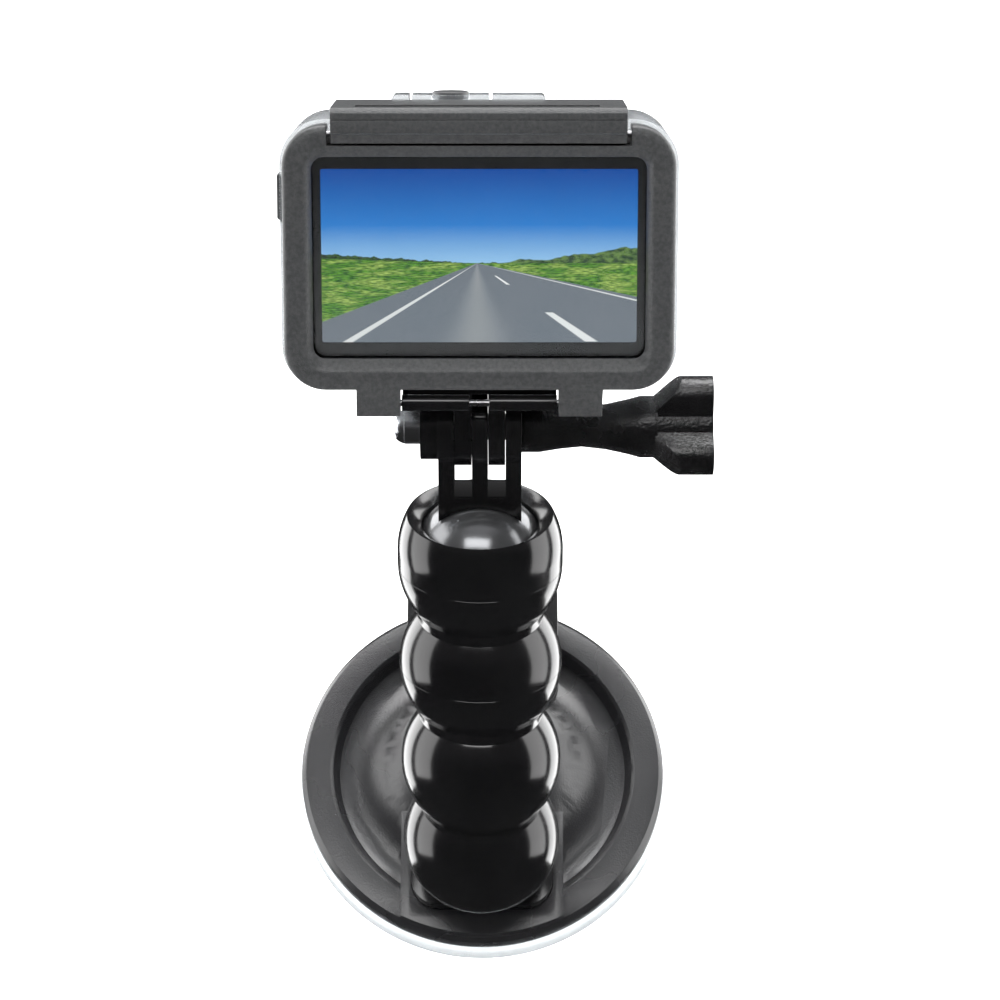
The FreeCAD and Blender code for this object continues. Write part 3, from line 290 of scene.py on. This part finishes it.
# === Arm foot and lowest segment ==================================================================
# The arm's foot is a rounded plate in the block's pocket. The lowest ball segment is fixed to its post,
# and like the other three it is a hollow gloss-black ball in two halves pressed together at the equator.
foot = softened("arm_foot", "arm_foot_plate", 0.4)
fit(foot, "base", "gloss_black", gloss_black, "arm_foot")
BALL, WALL, SEAM = 15.5, 2.3, 0.05
INSIDE = BALL - WALL
ball_centres = {4: joints["segment_3_tilt"]["pos_m"], 3: joints["segment_2_tilt"]["pos_m"],
                2: joints["segment_1_tilt"]["pos_m"], 1: joints["fork_tilt"]["pos_m"]}
ball_leans = {4: (0, -math.sin(math.radians(38)), math.cos(math.radians(38))),
              3: joints["segment_3_twist"]["axis"], 2: joints["segment_2_twist"]["axis"],
              1: joints["segment_1_twist"]["axis"]}
ball_places = {count: leaning_place(ball_centres[count], ball_leans[count]) for count in ball_centres}


def cap_rings(mouth, band=0.0):
    """Profile of a segment's upper half: a dome over a straight band, open at the mouth with a soft rim."""
    slope = math.radians(mouth)
    across, up = math.sin(slope), math.cos(slope)
    reach = band * up + math.sqrt(BALL ** 2 - (band * across) ** 2)
    rim = math.degrees(math.atan2(reach * across, reach * up - band))
    soft = 0.5
    turned_in = reach - soft * 0.15
    dome = [(INSIDE, 0), (BALL - SEAM, 0), (BALL, SEAM)] + bowed(BALL, band, 88, rim + 2.2, 20)
    lip = [(turned_in * across + soft * 0.5 * up, turned_in * up - soft * 0.5 * across),
           ((reach - soft) * across, (reach - soft) * up),
           ((INSIDE + soft) * across, (INSIDE + soft) * up)]
    return dome + lip + bowed(INSIDE, 0, mouth + 2, 90, 18)


top_cap = drawn_up("segment_4_cap_half", cap_rings(36), ball_places[4], sides=128)
fit(top_cap, "base", "gloss_black", gloss_black, "segment_4_cap")
low_rings = ([(0, -INSIDE)] + bowed(INSIDE, 0, 178, 90, 18) + [(BALL - SEAM, 0), (BALL, -SEAM)]
             + bowed(BALL, 0, 92, 180, 24))
low_half = drawn_up("segment_4_body_half", low_rings, ball_places[4], sides=128)
fit(low_half, "base", "gloss_black", gloss_black, "segment_4_body")

# === Moving segments ==============================================================================
# Each of the three moving segments is a cap and a body with a skirt that rides over the ball below. A
# stud through the body's floor ends in a domed head inside the ball below, which is what swivels.
PITCH, SEAT, SKIRT, STEM, HOLE_GAP = 22, 15.8, 12, 4.5, 0.06
SKIRT_LOW, SKIRT_SOFT = 10.2, 0.4
mouths = {3: (36, 0), 2: (36, 0), 1: (53, 2.6)}
skirt_lip = math.degrees(math.asin(SKIRT / SEAT))
meet = math.degrees(math.asin(SKIRT / BALL))
for count, (mouth, band) in mouths.items():
    cap = drawn_up("segment_%d_cap_half" % count, cap_rings(mouth, band), ball_places[count], sides=128)
    fit(cap, "segment_%d" % count, "gloss_black", gloss_black, "segment_%d_cap" % count)
    hole = STEM + HOLE_GAP
    seat_top = math.degrees(math.asin(hole / SEAT))
    rings = [(hole, -PITCH + SEAT * math.cos(math.radians(seat_top)))]
    rings += bowed(SEAT, -PITCH, seat_top, skirt_lip - 1.2, 14)
    rings += [(SKIRT - 0.1, -PITCH + SKIRT_LOW), (SKIRT, -PITCH + SKIRT_LOW + SKIRT_SOFT)]
    rings += [(SKIRT, -BALL * math.cos(math.radians(meet)) - 0.3)]
    rings += bowed(BALL, 0, 180 - meet - 1.5, 92, 16)
    rings += [(BALL, -SEAM), (BALL - SEAM, 0), (INSIDE, 0)]
    rings += bowed(INSIDE, 0, 92, 128, 8)
    rings += bowed(SEAT + WALL, -PITCH, 34, 16, 6)
    rings += [(hole, -PITCH + (SEAT + WALL) * math.cos(math.asin(hole / (SEAT + WALL))))]
    rings += [rings[0]]
    half = drawn_up("segment_%d_body_half" % count, rings, ball_places[count], sides=128)
    fit(half, "segment_%d" % count, "gloss_black", gloss_black, "segment_%d_body" % count)
coat(gloss_black, "segment_1_stud", "segment_2_stud", "segment_3_stud")

# === Fork =========================================================================================
# One gloss-black moulding: the ball that turns in the top segment, a neck, and three flat fingers with
# round ends that clamp the housing's two. The left finger has an ear with a hexagonal seat for the nut.
# The ball's faces get a lighter grey, a painted sheen that stands in for the light the ball reflects.
BALL_SKIN, NECK_FOOT = 13.4, 12.9
fork = softened("fork_mount", "fork_moulding", 0.3)
fit(fork, "fork", "gloss_black", gloss_black, "fork_mount")
# Painted sheen: a lighter grey copy of the black for the ball, in place of the light that it reflects.
ball_painted_sheen = moulded("ball_painted_sheen", tone(120, 121, 123), tone(136, 137, 139), (0.16, 0.24), 900, 0.04,
                        Metallic=0.7)
fork.data.materials.append(ball_painted_sheen)
ball_middle = Vector(ball_centres[1])
for face in fork.data.polygons:
    on_ball = (face.center - ball_middle).length < BALL_SKIN * MM
    if on_ball and face.center.z < ball_middle.z + NECK_FOOT * MM:
        face.material_index = 1

# === Cap nut ======================================================================================
# Polished chrome acorn nut held in the ear; the clamp screw runs into it.
chrome = turned_metal("polished_chrome", tone(236, 237, 240), (0.2, 0.28), 1400)
nut = softened("cap_nut", "acorn_nut", 0.15)
fit(nut, "fork", "chrome", chrome, "cap_nut")

# === Thumb knob ===================================================================================
# Three-lobed knob in coarse-grained black plastic, moulded on the end of the clamp screw, with a long
# waisted stem so that it clears the housing.
knob_plastic = moulded("knob_plastic", tone(14, 14, 15), tone(22, 22, 23), (0.2, 0.3), 1900, 0.75,
                       clouds=160, Specular_IOR_Level=0.8)
knob = softened("thumb_knob", "thumb_knob_moulding", 0.5)
fit(knob, "thumbscrew", "knob_plastic", knob_plastic, "thumb_knob")

# === Housing ======================================================================================
# Frosted clear polycarbonate box with the lens port and the button tower moulded in, closed in front by a
# glass disc and a dark ring. Under it sits a gloss-black foot with two clamp fingers and the hinge barrels.
housing_clear = moulded("housing_clear", tone(238, 241, 243), tone(228, 232, 235), (0.12, 0.26),
                        1500, 0.06, Transmission_Weight=0.82, IOR=1.5)
housing = softened("housing_front", "housing_moulding", 0.35)
fit(housing, "housing", "housing_clear", housing_clear, "housing_front")
window_glass = moulded("window_glass", tone(250, 252, 253), tone(244, 248, 250), (0.0, 0.03),
                       300, 0.01, Transmission_Weight=1.0, IOR=1.46)
coat(window_glass, "lens_port_glass")
housing_grey = moulded("housing_grey", tone(66, 67, 68), tone(80, 81, 82), (0.28, 0.38), 3600, 0.42,
                       clouds=1400)
foot_plate = softened("housing_foot", "housing_foot_moulding", 0.25)
fit(foot_plate, "housing", "gloss_black", gloss_black, "housing_foot")
ring = softened("lens_port_ring", "lens_port_trim", 0.3)
fit(ring, "housing", "housing_grey", housing_grey, "lens_port_ring")

# === Keys =========================================================================================
# Two sprung plungers through the housing wall: a side key and a round shutter button on its tower.
for node, body in (("side_key", "side_key"), ("shutter_button", "shutter_button")):
    key = softened(node, node + "_cap", 0.35)
    fit(key, body, "housing_grey", housing_grey, node)

# === Camera =======================================================================================
# The camera inside: a matt case, board, battery, sensor and lens, with a gloss-black bezel round a lit
# screen that shows the road ahead.
case_plastic = moulded("case_plastic", tone(44, 45, 48), tone(52, 53, 56), (0.4, 0.55), 2800, 0.35)
case = softened("camera_case", "camera_body", 0.4)
fit(case, "housing", "case_plastic", case_plastic, "camera_case")
screen_black = moulded("screen_black", (0.0028, 0.0028, 0.003, 1.0), (0.004, 0.004, 0.0045, 1.0),
                       (0.06, 0.12), 500, 0.02)
coat(screen_black, "screen_bezel")
board_green = moulded("board_green", tone(24, 84, 48), tone(34, 100, 58), (0.3, 0.45), 1800, 0.3)
coat(board_green, "main_board")
cell_wrap = moulded("cell_wrap", tone(70, 74, 84), tone(80, 84, 94), (0.3, 0.42), 900, 0.2)
coat(cell_wrap, "battery")
lens_black = moulded("lens_black", tone(20, 20, 21), tone(28, 28, 30), (0.3, 0.42), 4200, 0.3,
                     Metallic=0.6)
coat(lens_black, "lens_barrel", "image_sensor")
lens_glass = moulded("lens_glass", (0.03, 0.018, 0.06, 1.0), (0.015, 0.03, 0.05, 1.0), (0.02, 0.05),
                     200, 0.01, clouds=110, Coat_Weight=1.0, Coat_Roughness=0.02)
coat(lens_glass, "front_lens")


def road_picture():
    """Lit screen: a straight road under a clear sky, drawn with plain shapes and soft noise."""
    low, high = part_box("screen_panel")
    material = bpy.data.materials.new("screen_lit")
    material.use_nodes = True
    nodes, links = material.node_tree.nodes, material.node_tree.links
    shader = nodes["Principled BSDF"]
    place = nodes.new("ShaderNodeTexCoord")
    centred = nodes.new("ShaderNodeMapping")
    wide, tall = high[0] - low[0], high[2] - low[2]
    centred.inputs["Location"].default_value = (-low[0] / wide, 0, -low[2] / tall)
    centred.inputs["Scale"].default_value = (1 / wide, 0, 1 / tall)
    links.new(place.outputs["Object"], centred.inputs["Vector"])
    apart = nodes.new("ShaderNodeSeparateXYZ")
    links.new(centred.outputs["Vector"], apart.inputs["Vector"])
    across, up = apart.outputs["X"], apart.outputs["Z"]

    def worked(kind, first, second=0.0):
        step = nodes.new("ShaderNodeMath")
        step.operation = kind
        for socket, value in zip(step.inputs, (first, second)):
            if isinstance(value, (int, float)):
                socket.default_value = value
            else:
                links.new(value, socket)
        return step.outputs["Value"]

    def soft_step(value, edge, width):
        ramp = nodes.new("ShaderNodeMapRange")
        ramp.interpolation_type = "SMOOTHSTEP"
        links.new(value, ramp.inputs["Value"])
        ramp.inputs["From Min"].default_value = edge - width
        ramp.inputs["From Max"].default_value = edge + width
        return ramp.outputs["Result"]

    def noise(scale, detail=4.0, stretch=(1, 1, 1)):
        spread = nodes.new("ShaderNodeMapping")
        spread.inputs["Scale"].default_value = stretch
        links.new(centred.outputs["Vector"], spread.inputs["Vector"])
        texture = nodes.new("ShaderNodeTexNoise")
        texture.inputs["Scale"].default_value = scale
        texture.inputs["Detail"].default_value = detail
        links.new(spread.outputs["Vector"], texture.inputs["Vector"])
        return texture.outputs["Fac"]

    def over(mask, below, above):
        layer = nodes.new("ShaderNodeMix")
        layer.data_type = "RGBA"
        links.new(mask, layer.inputs["Factor"])
        for socket, value in ((layer.inputs[6], below), (layer.inputs[7], above)):
            if isinstance(value, tuple):
                socket.default_value = value
            else:
                links.new(value, socket)
        return layer.outputs[2]

    HORIZON, VANISH = 0.458, 0.493
    LEFT_VERGE, RIGHT_VERGE = -1.45, 2.62
    LEFT_LINE, RIGHT_LINE, LANE_LINE = (-0.9, 0.035), (2.36, 0.05), 0.8
    FAR_DASH, NEAR_DASH = (0.098, 0.026), (0.37, 0.085)
    sky = nodes.new("ShaderNodeValToRGB")
    links.new(up, sky.inputs["Fac"])
    sky.color_ramp.elements[0].position = HORIZON
    sky.color_ramp.elements[0].color = tone(150, 200, 238)
    sky.color_ramp.elements[1].position = 1.0
    sky.color_ramp.elements[1].color = tone(2, 72, 158)
    middle = sky.color_ramp.elements.new(0.68)
    middle.color = tone(30, 124, 206)
    rise = worked("MULTIPLY", worked("MAXIMUM", worked("SUBTRACT", across, 0.56), 0.0), 0.2)
    rough = worked("MULTIPLY", worked("SUBTRACT", noise(9, 4, (1, 0, 0)), 0.5), 0.1)
    ragged = worked("MULTIPLY", rough, soft_step(across, 0.6, 0.06))
    hill_line = worked("ADD", worked("ADD", rise, ragged), HORIZON)
    hills = soft_step(worked("SUBTRACT", hill_line, up), 0.0, 0.004)
    hill_colour = over(soft_step(noise(40, 5), 0.5, 0.13), tone(20, 56, 26), tone(98, 132, 62))
    picture = over(hills, sky.outputs["Color"], hill_colour)
    slope = worked("MULTIPLY", worked("MAXIMUM", worked("SUBTRACT", 0.47, across), 0.0), 0.11)
    tree_line = worked("ADD", worked("MULTIPLY", noise(34, 6, (1, 0, 0)), 0.05), HORIZON - 0.024)
    tree_line = worked("ADD", tree_line, slope)
    trees = soft_step(worked("SUBTRACT", tree_line, up), 0.0, 0.003)
    tree_colour = over(soft_step(noise(70), 0.5, 0.12), tone(8, 30, 12), tone(48, 88, 30))
    picture = over(trees, picture, tree_colour)
    depth = worked("SUBTRACT", HORIZON, up)
    blades = soft_step(noise(46, 7, (1, 1, 3.5)), 0.5, 0.13)
    patches = soft_step(noise(9, 4, (1, 1, 4)), 0.52, 0.1)
    field_colour = over(patches, over(blades, tone(22, 78, 12), tone(92, 156, 34)),
                        over(blades, tone(74, 116, 30), tone(168, 196, 92)))
    field = soft_step(depth, 0.0, 0.003)
    bank = soft_step(worked("ADD", depth, worked("MULTIPLY", slope, 0.5)), 0.0, 0.004)
    picture = over(bank, picture, field_colour)
    offset = worked("DIVIDE", worked("SUBTRACT", across, VANISH), worked("MAXIMUM", depth, 0.001))
    tarmac = over(noise(60, 3, (1, 1, 4)), tone(88, 98, 108), tone(126, 134, 142))
    left_side = soft_step(offset, LEFT_VERGE, 0.03)
    right_side = worked("SUBTRACT", 1.0, soft_step(offset, RIGHT_VERGE, 0.03))
    road = worked("MULTIPLY", field, worked("MULTIPLY", left_side, right_side))
    picture = over(road, picture, tarmac)
    streak = worked("SUBTRACT", 1.0, soft_step(worked("ABSOLUTE", offset), 0.16, 0.16))
    picture = over(worked("MULTIPLY", worked("MULTIPLY", streak, field), 0.5), picture, tone(168, 172, 172))
    for place_on_road, width in (LEFT_LINE, RIGHT_LINE):
        gap = worked("ABSOLUTE", worked("SUBTRACT", offset, place_on_road))
        line = worked("MULTIPLY", field, worked("SUBTRACT", 1.0, soft_step(gap, width, 0.012)))
        picture = over(line, picture, tone(226, 228, 226))
    gap = worked("ABSOLUTE", worked("SUBTRACT", offset, LANE_LINE))
    line = worked("SUBTRACT", 1.0, soft_step(gap, 0.045, 0.012))
    dashes = [worked("LESS_THAN", worked("ABSOLUTE", worked("SUBTRACT", depth, middle_at)), half_long)
              for middle_at, half_long in (FAR_DASH, NEAR_DASH)]
    dashed = worked("MULTIPLY", worked("MULTIPLY", line, field), worked("MAXIMUM", *dashes))
    picture = over(dashed, picture, tone(236, 238, 236))
    links.new(picture, shader.inputs["Emission Color"])
    shader.inputs["Emission Strength"].default_value = 1.0
    shader.inputs["Base Color"].default_value = (0.01, 0.01, 0.012, 1.0)
    gloss = nodes.new("ShaderNodeMapRange")
    gloss.inputs["To Min"].default_value = 0.08
    gloss.inputs["To Max"].default_value = 0.16
    links.new(noise(12), gloss.inputs["Value"])
    links.new(gloss.outputs["Result"], shader.inputs["Roughness"])
    return material


coat(road_picture(), "screen_panel")

# === Back door ====================================================================================
# Grey door with a spark-eroded grain, a sloped rim round a clear window, hinge lugs below and a notch
# for the latch above. The window's inner wall is coloured black as painted shade, and a pale rubber ring
# seals the door.
DOOR_WIDE, DOOR_TALL, DOOR_DEEP, DOOR_CORNER = 69.6, 47.2, 5.15, 7.4
DOOR_EDGE, DOOR_MIDDLE, DOOR_JOINT = 3.95, 32.8, 9.65
WINDOW_WIDE, WINDOW_TALL, PANE_BACK, PANE_LAP = 59.2, 35.9, 2.0, 1.2
NOTCH_HALF, NOTCH_FLOOR, NOTCH_TOP, NOTCH_BACK, NOTCH_FRONT = 26.8, 52.8, 60.0, -16.0, -8.0
LUG_INNER, LUG_OUTER, LUG_FLOOR, LUG_TOP, LUG_BACK, LUG_FRONT = 14.2, 22.0, 4.5, 12.5, -14.4, -10.0
clamp = Vector(joints["head_tilt"]["pos_m"])
head_middle = clamp.z + DOOR_MIDDLE * MM
joint_plane = clamp.y - DOOR_JOINT * MM
bpy.ops.object.select_all(action="DESELECT")
at_window = (0, joint_plane, head_middle)
bpy.ops.mesh.primitive_plane_add(size=MM, location=at_window, rotation=(math.pi / 2, 0, 0))
door = bpy.context.object
door.name = "door_moulding"
door.scale = (DOOR_WIDE, DOOR_TALL, 1)
bpy.ops.object.transform_apply(location=True, rotation=True, scale=True)
bpy.ops.object.mode_set(mode="EDIT")
bpy.ops.mesh.select_mode(type="FACE")
bpy.ops.mesh.select_all(action="SELECT")
bpy.ops.mesh.bevel(offset=DOOR_CORNER * MM, segments=12, affect="VERTICES")
bpy.ops.mesh.extrude_region_move(TRANSFORM_OT_translate={"value": (0, -DOOR_EDGE * MM, 0)})
rim_steps = ((0.12, 0.5), (0.38, 0.4), (0.6, 0.2), (0.7, 0.1), (1.4, 0.0), (0.4, -0.1), (0.6, -0.4),
             (1.0, -1.0))
for inwards, outwards in rim_steps:
    bpy.ops.mesh.inset(thickness=inwards * MM, depth=outwards * MM)
inset_tall = DOOR_TALL / 2 - sum(inwards for inwards, outwards in rim_steps)
bpy.ops.transform.resize(value=(1, 1, WINDOW_TALL / 2 / inset_tall), center_override=at_window)
reached = DOOR_EDGE + sum(outwards for inwards, outwards in rim_steps)
pane_depth = DOOR_DEEP - PANE_BACK
bpy.ops.mesh.extrude_region_move(TRANSFORM_OT_translate={"value": (0, (reached - pane_depth) * MM, 0)})
bpy.ops.mesh.extrude_region_move(TRANSFORM_OT_translate={"value": (0, 0, 0)})
bpy.ops.transform.resize(value=(1 + 2 * PANE_LAP / WINDOW_WIDE, 1, 1 + 2 * PANE_LAP / WINDOW_TALL),
                         center_override=at_window)
bpy.ops.mesh.extrude_region_move(TRANSFORM_OT_translate={"value": (0, pane_depth * MM, 0)})
bpy.ops.mesh.delete(type="FACE")
bpy.ops.object.mode_set(mode="OBJECT")
for face in door.data.polygons:
    face.select = all(abs(door.data.vertices[index].co.y - joint_plane) < 1e-6 for index in face.vertices)
bpy.ops.object.mode_set(mode="EDIT")
bpy.ops.mesh.delete(type="FACE")
bpy.ops.mesh.select_mode(type="EDGE")
bpy.ops.mesh.select_all(action="DESELECT")
bpy.ops.mesh.select_non_manifold()
bpy.ops.mesh.bridge_edge_loops()
bpy.ops.mesh.select_all(action="SELECT")
bpy.ops.mesh.normals_make_consistent(inside=False)
bpy.ops.object.mode_set(mode="OBJECT")


def cut_or_joined(piece, kind, low, high):
    """Takes a box from a piece or joins one to it; corners are in millimetres from the clamp axis."""
    bpy.ops.object.select_all(action="DESELECT")
    middle = [(a + b) / 2 * MM for a, b in zip(low, high)]
    spans = [(b - a) * MM for a, b in zip(low, high)]
    bpy.ops.mesh.primitive_cube_add(size=1, location=clamp + Vector(middle), scale=spans)
    block = bpy.context.object
    bpy.ops.object.transform_apply(location=True, rotation=True, scale=True)
    bpy.ops.object.select_all(action="DESELECT")
    piece.select_set(True)
    bpy.context.view_layer.objects.active = piece
    step = piece.modifiers.new("step", "BOOLEAN")
    step.operation = kind
    step.solver = "EXACT"
    step.object = block
    bpy.ops.object.modifier_apply(modifier="step")
    bpy.data.objects.remove(block)


notch_low = (-NOTCH_HALF, NOTCH_BACK, NOTCH_FLOOR)
notch_high = (NOTCH_HALF, NOTCH_FRONT, NOTCH_TOP)
cut_or_joined(door, "DIFFERENCE", notch_low, notch_high)
for side in (-1, 1):
    left, right = sorted((LUG_INNER * side, LUG_OUTER * side))
    cut_or_joined(door, "UNION", (left, LUG_BACK, LUG_FLOOR), (right, LUG_FRONT, LUG_TOP))
small_radius = door.modifiers.new("small_radius", "BEVEL")
small_radius.width = 0.25 * MM
small_radius.segments = 3
small_radius.limit_method = "ANGLE"
small_radius.angle_limit = math.radians(50)
bpy.ops.object.modifier_apply(modifier="small_radius")
smooth_below(door, 50)
fit(door, "door", "housing_grey", housing_grey, "door_frame")
# Painted shade: the faces of the window's inner wall take the black, standing in for the shadow in that
# recess.
door.data.materials.append(screen_black)
for face in door.data.polygons:
    beside = abs(face.center.x) < (WINDOW_WIDE / 2 + PANE_LAP + 0.1) * MM
    level = abs(face.center.z - head_middle) < (WINDOW_TALL / 2 + PANE_LAP + 0.1) * MM
    if beside and level and face.center.y > joint_plane - (reached - 0.05) * MM:
        face.material_index = 1
coat(window_glass, "door_window")
seal_rubber = moulded("seal_rubber", tone(150, 150, 150), tone(164, 164, 164), (0.55, 0.7), 1200, 0.2)
coat(seal_rubber, "door_gasket")

# === Latch ========================================================================================
# Bar along the door's top edge with a long finger groove and a hook over the housing's ridge. It is the
# same grained grey plastic and turns on a steel pin.
bar = softened("latch_bar", "latch_bar_moulding", 0.35)
fit(bar, "latch", "housing_grey", housing_grey, "latch_bar")

# === Studio =======================================================================================
# A pale floor that sweeps up behind the piece, tall soft lights beside and half behind it, wide ones
# above and in front, a dim room that is brighter overhead, and the camera in front of the screen.
FLOOR_SIZE, FLOOR_BACK, FLOOR_RISE, FLOOR_BELOW = 3.0, 0.9, 1.6, 0.004
LENS_LENGTH, CAMERA_PLACE, CAMERA_TILT = 102.1, (0.0037, -0.5778, 0.1841), 78
bpy.ops.object.select_all(action="DESELECT")
floor_place = (0, FLOOR_BACK - FLOOR_SIZE / 2, cad_low[2] - FLOOR_BELOW)
bpy.ops.mesh.primitive_plane_add(size=FLOOR_SIZE, location=floor_place)
floor = bpy.context.object
floor.name = "studio_sweep"
bpy.ops.object.mode_set(mode="EDIT")
bpy.ops.mesh.select_mode(type="EDGE")
bpy.ops.mesh.select_all(action="DESELECT")
bpy.ops.object.mode_set(mode="OBJECT")
for edge in floor.data.edges:
    ends = [floor.data.vertices[index].co for index in edge.vertices]
    edge.select = all(end.y > 0 for end in ends)
bpy.ops.object.mode_set(mode="EDIT")
bpy.ops.mesh.extrude_region_move(TRANSFORM_OT_translate={"value": (0, 0, FLOOR_RISE)})
bpy.ops.object.mode_set(mode="OBJECT")
sweep_bevel = floor.modifiers.new("sweep_curve", "BEVEL")
sweep_bevel.width = 0.4
sweep_bevel.segments = 16
bpy.ops.object.modifier_apply(modifier="sweep_curve")
smooth_below(floor, 60)
sweep_white = moulded("sweep_white", tone(252, 252, 252), tone(248, 248, 248), (0.7, 0.8), 40, 0.02, clouds=2)
sweep_shader = sweep_white.node_tree.nodes["Principled BSDF"]
seen = sweep_white.node_tree.nodes.new("ShaderNodeLightPath")
bright = sweep_white.node_tree.nodes.new("ShaderNodeMapRange")
bright.inputs["To Min"].default_value = 0.0
bright.inputs["To Max"].default_value = 0.75
sweep_white.node_tree.links.new(seen.outputs["Is Camera Ray"], bright.inputs["Value"])
sweep_white.node_tree.links.new(bright.outputs["Result"], sweep_shader.inputs["Emission Strength"])
sweep_shader.inputs["Emission Color"].default_value = (1, 1, 1, 1)
floor.data.materials.append(sweep_white)
floor.visible_glossy = False
bpy.context.scene.view_settings.view_transform = "Standard"


def soft_light(name, place, wide, tall, power):
    """Rectangular soft light that faces the middle of the arm."""
    aim = Vector((0, -0.05, 0.06))
    light = bpy.data.lights.new(name, "AREA")
    light.shape = "RECTANGLE"
    light.size = wide
    light.size_y = tall
    light.energy = power
    lamp = bpy.data.objects.new(name, light)
    lamp.location = place
    lamp.rotation_euler = (aim - Vector(place)).to_track_quat("-Z", "Y").to_euler()
    bpy.context.scene.collection.objects.link(lamp)


for side, name in ((-1, "left"), (1, "right")):
    soft_light(name + "_light", (0.42 * side, 0.34, 0.12), 0.3, 0.9, 3.6)
    soft_light(name + "_fill", (0.8 * side, -0.02, 0.2), 0.5, 1.1, 5)
soft_light("top_light", (0, 0.05, 0.8), 0.9, 0.5, 8)
soft_light("front_light", (-0.1, -1.0, 0.9), 0.9, 0.35, 5)
world = bpy.data.worlds.new("pale_room")
world.use_nodes = True
room, room_links = world.node_tree.nodes, world.node_tree.links
direction = room.new("ShaderNodeTexCoord")
apart = room.new("ShaderNodeSeparateXYZ")
room_links.new(direction.outputs["Generated"], apart.inputs["Vector"])
height = room.new("ShaderNodeMapRange")
height.inputs["From Min"].default_value = -1.0
room_links.new(apart.outputs["Z"], height.inputs["Value"])
wall = room.new("ShaderNodeValToRGB")
wall.color_ramp.elements[0].color = (0.02, 0.02, 0.02, 1)
wall.color_ramp.elements[1].color = (0.75, 0.76, 0.78, 1)
for place_up, light in ((0.5, 0.025), (0.62, 0.09), (0.88, 0.12), (0.96, 0.6)):
    step_up = wall.color_ramp.elements.new(place_up)
    step_up.color = (light, light, light * 1.02, 1)
room_links.new(height.outputs["Result"], wall.inputs["Fac"])
seen_directly = room.new("ShaderNodeLightPath")
shown = room.new("ShaderNodeMix")
shown.data_type = "RGBA"
shown.inputs[7].default_value = (1, 1, 1, 1)
room_links.new(seen_directly.outputs["Is Camera Ray"], shown.inputs["Factor"])
room_links.new(wall.outputs["Color"], shown.inputs[6])
room_links.new(shown.outputs[2], room["Background"].inputs["Color"])
room["Background"].inputs["Strength"].default_value = 1.0
bpy.context.scene.world = world
lens = bpy.data.cameras.new("front_camera")
lens.lens = LENS_LENGTH
lens.clip_start = 0.01
camera = bpy.data.objects.new("front_camera", lens)
camera.location = CAMERA_PLACE
camera.rotation_euler = (math.radians(CAMERA_TILT), 0, 0)
bpy.context.scene.collection.objects.link(camera)
bpy.context.scene.camera = camera
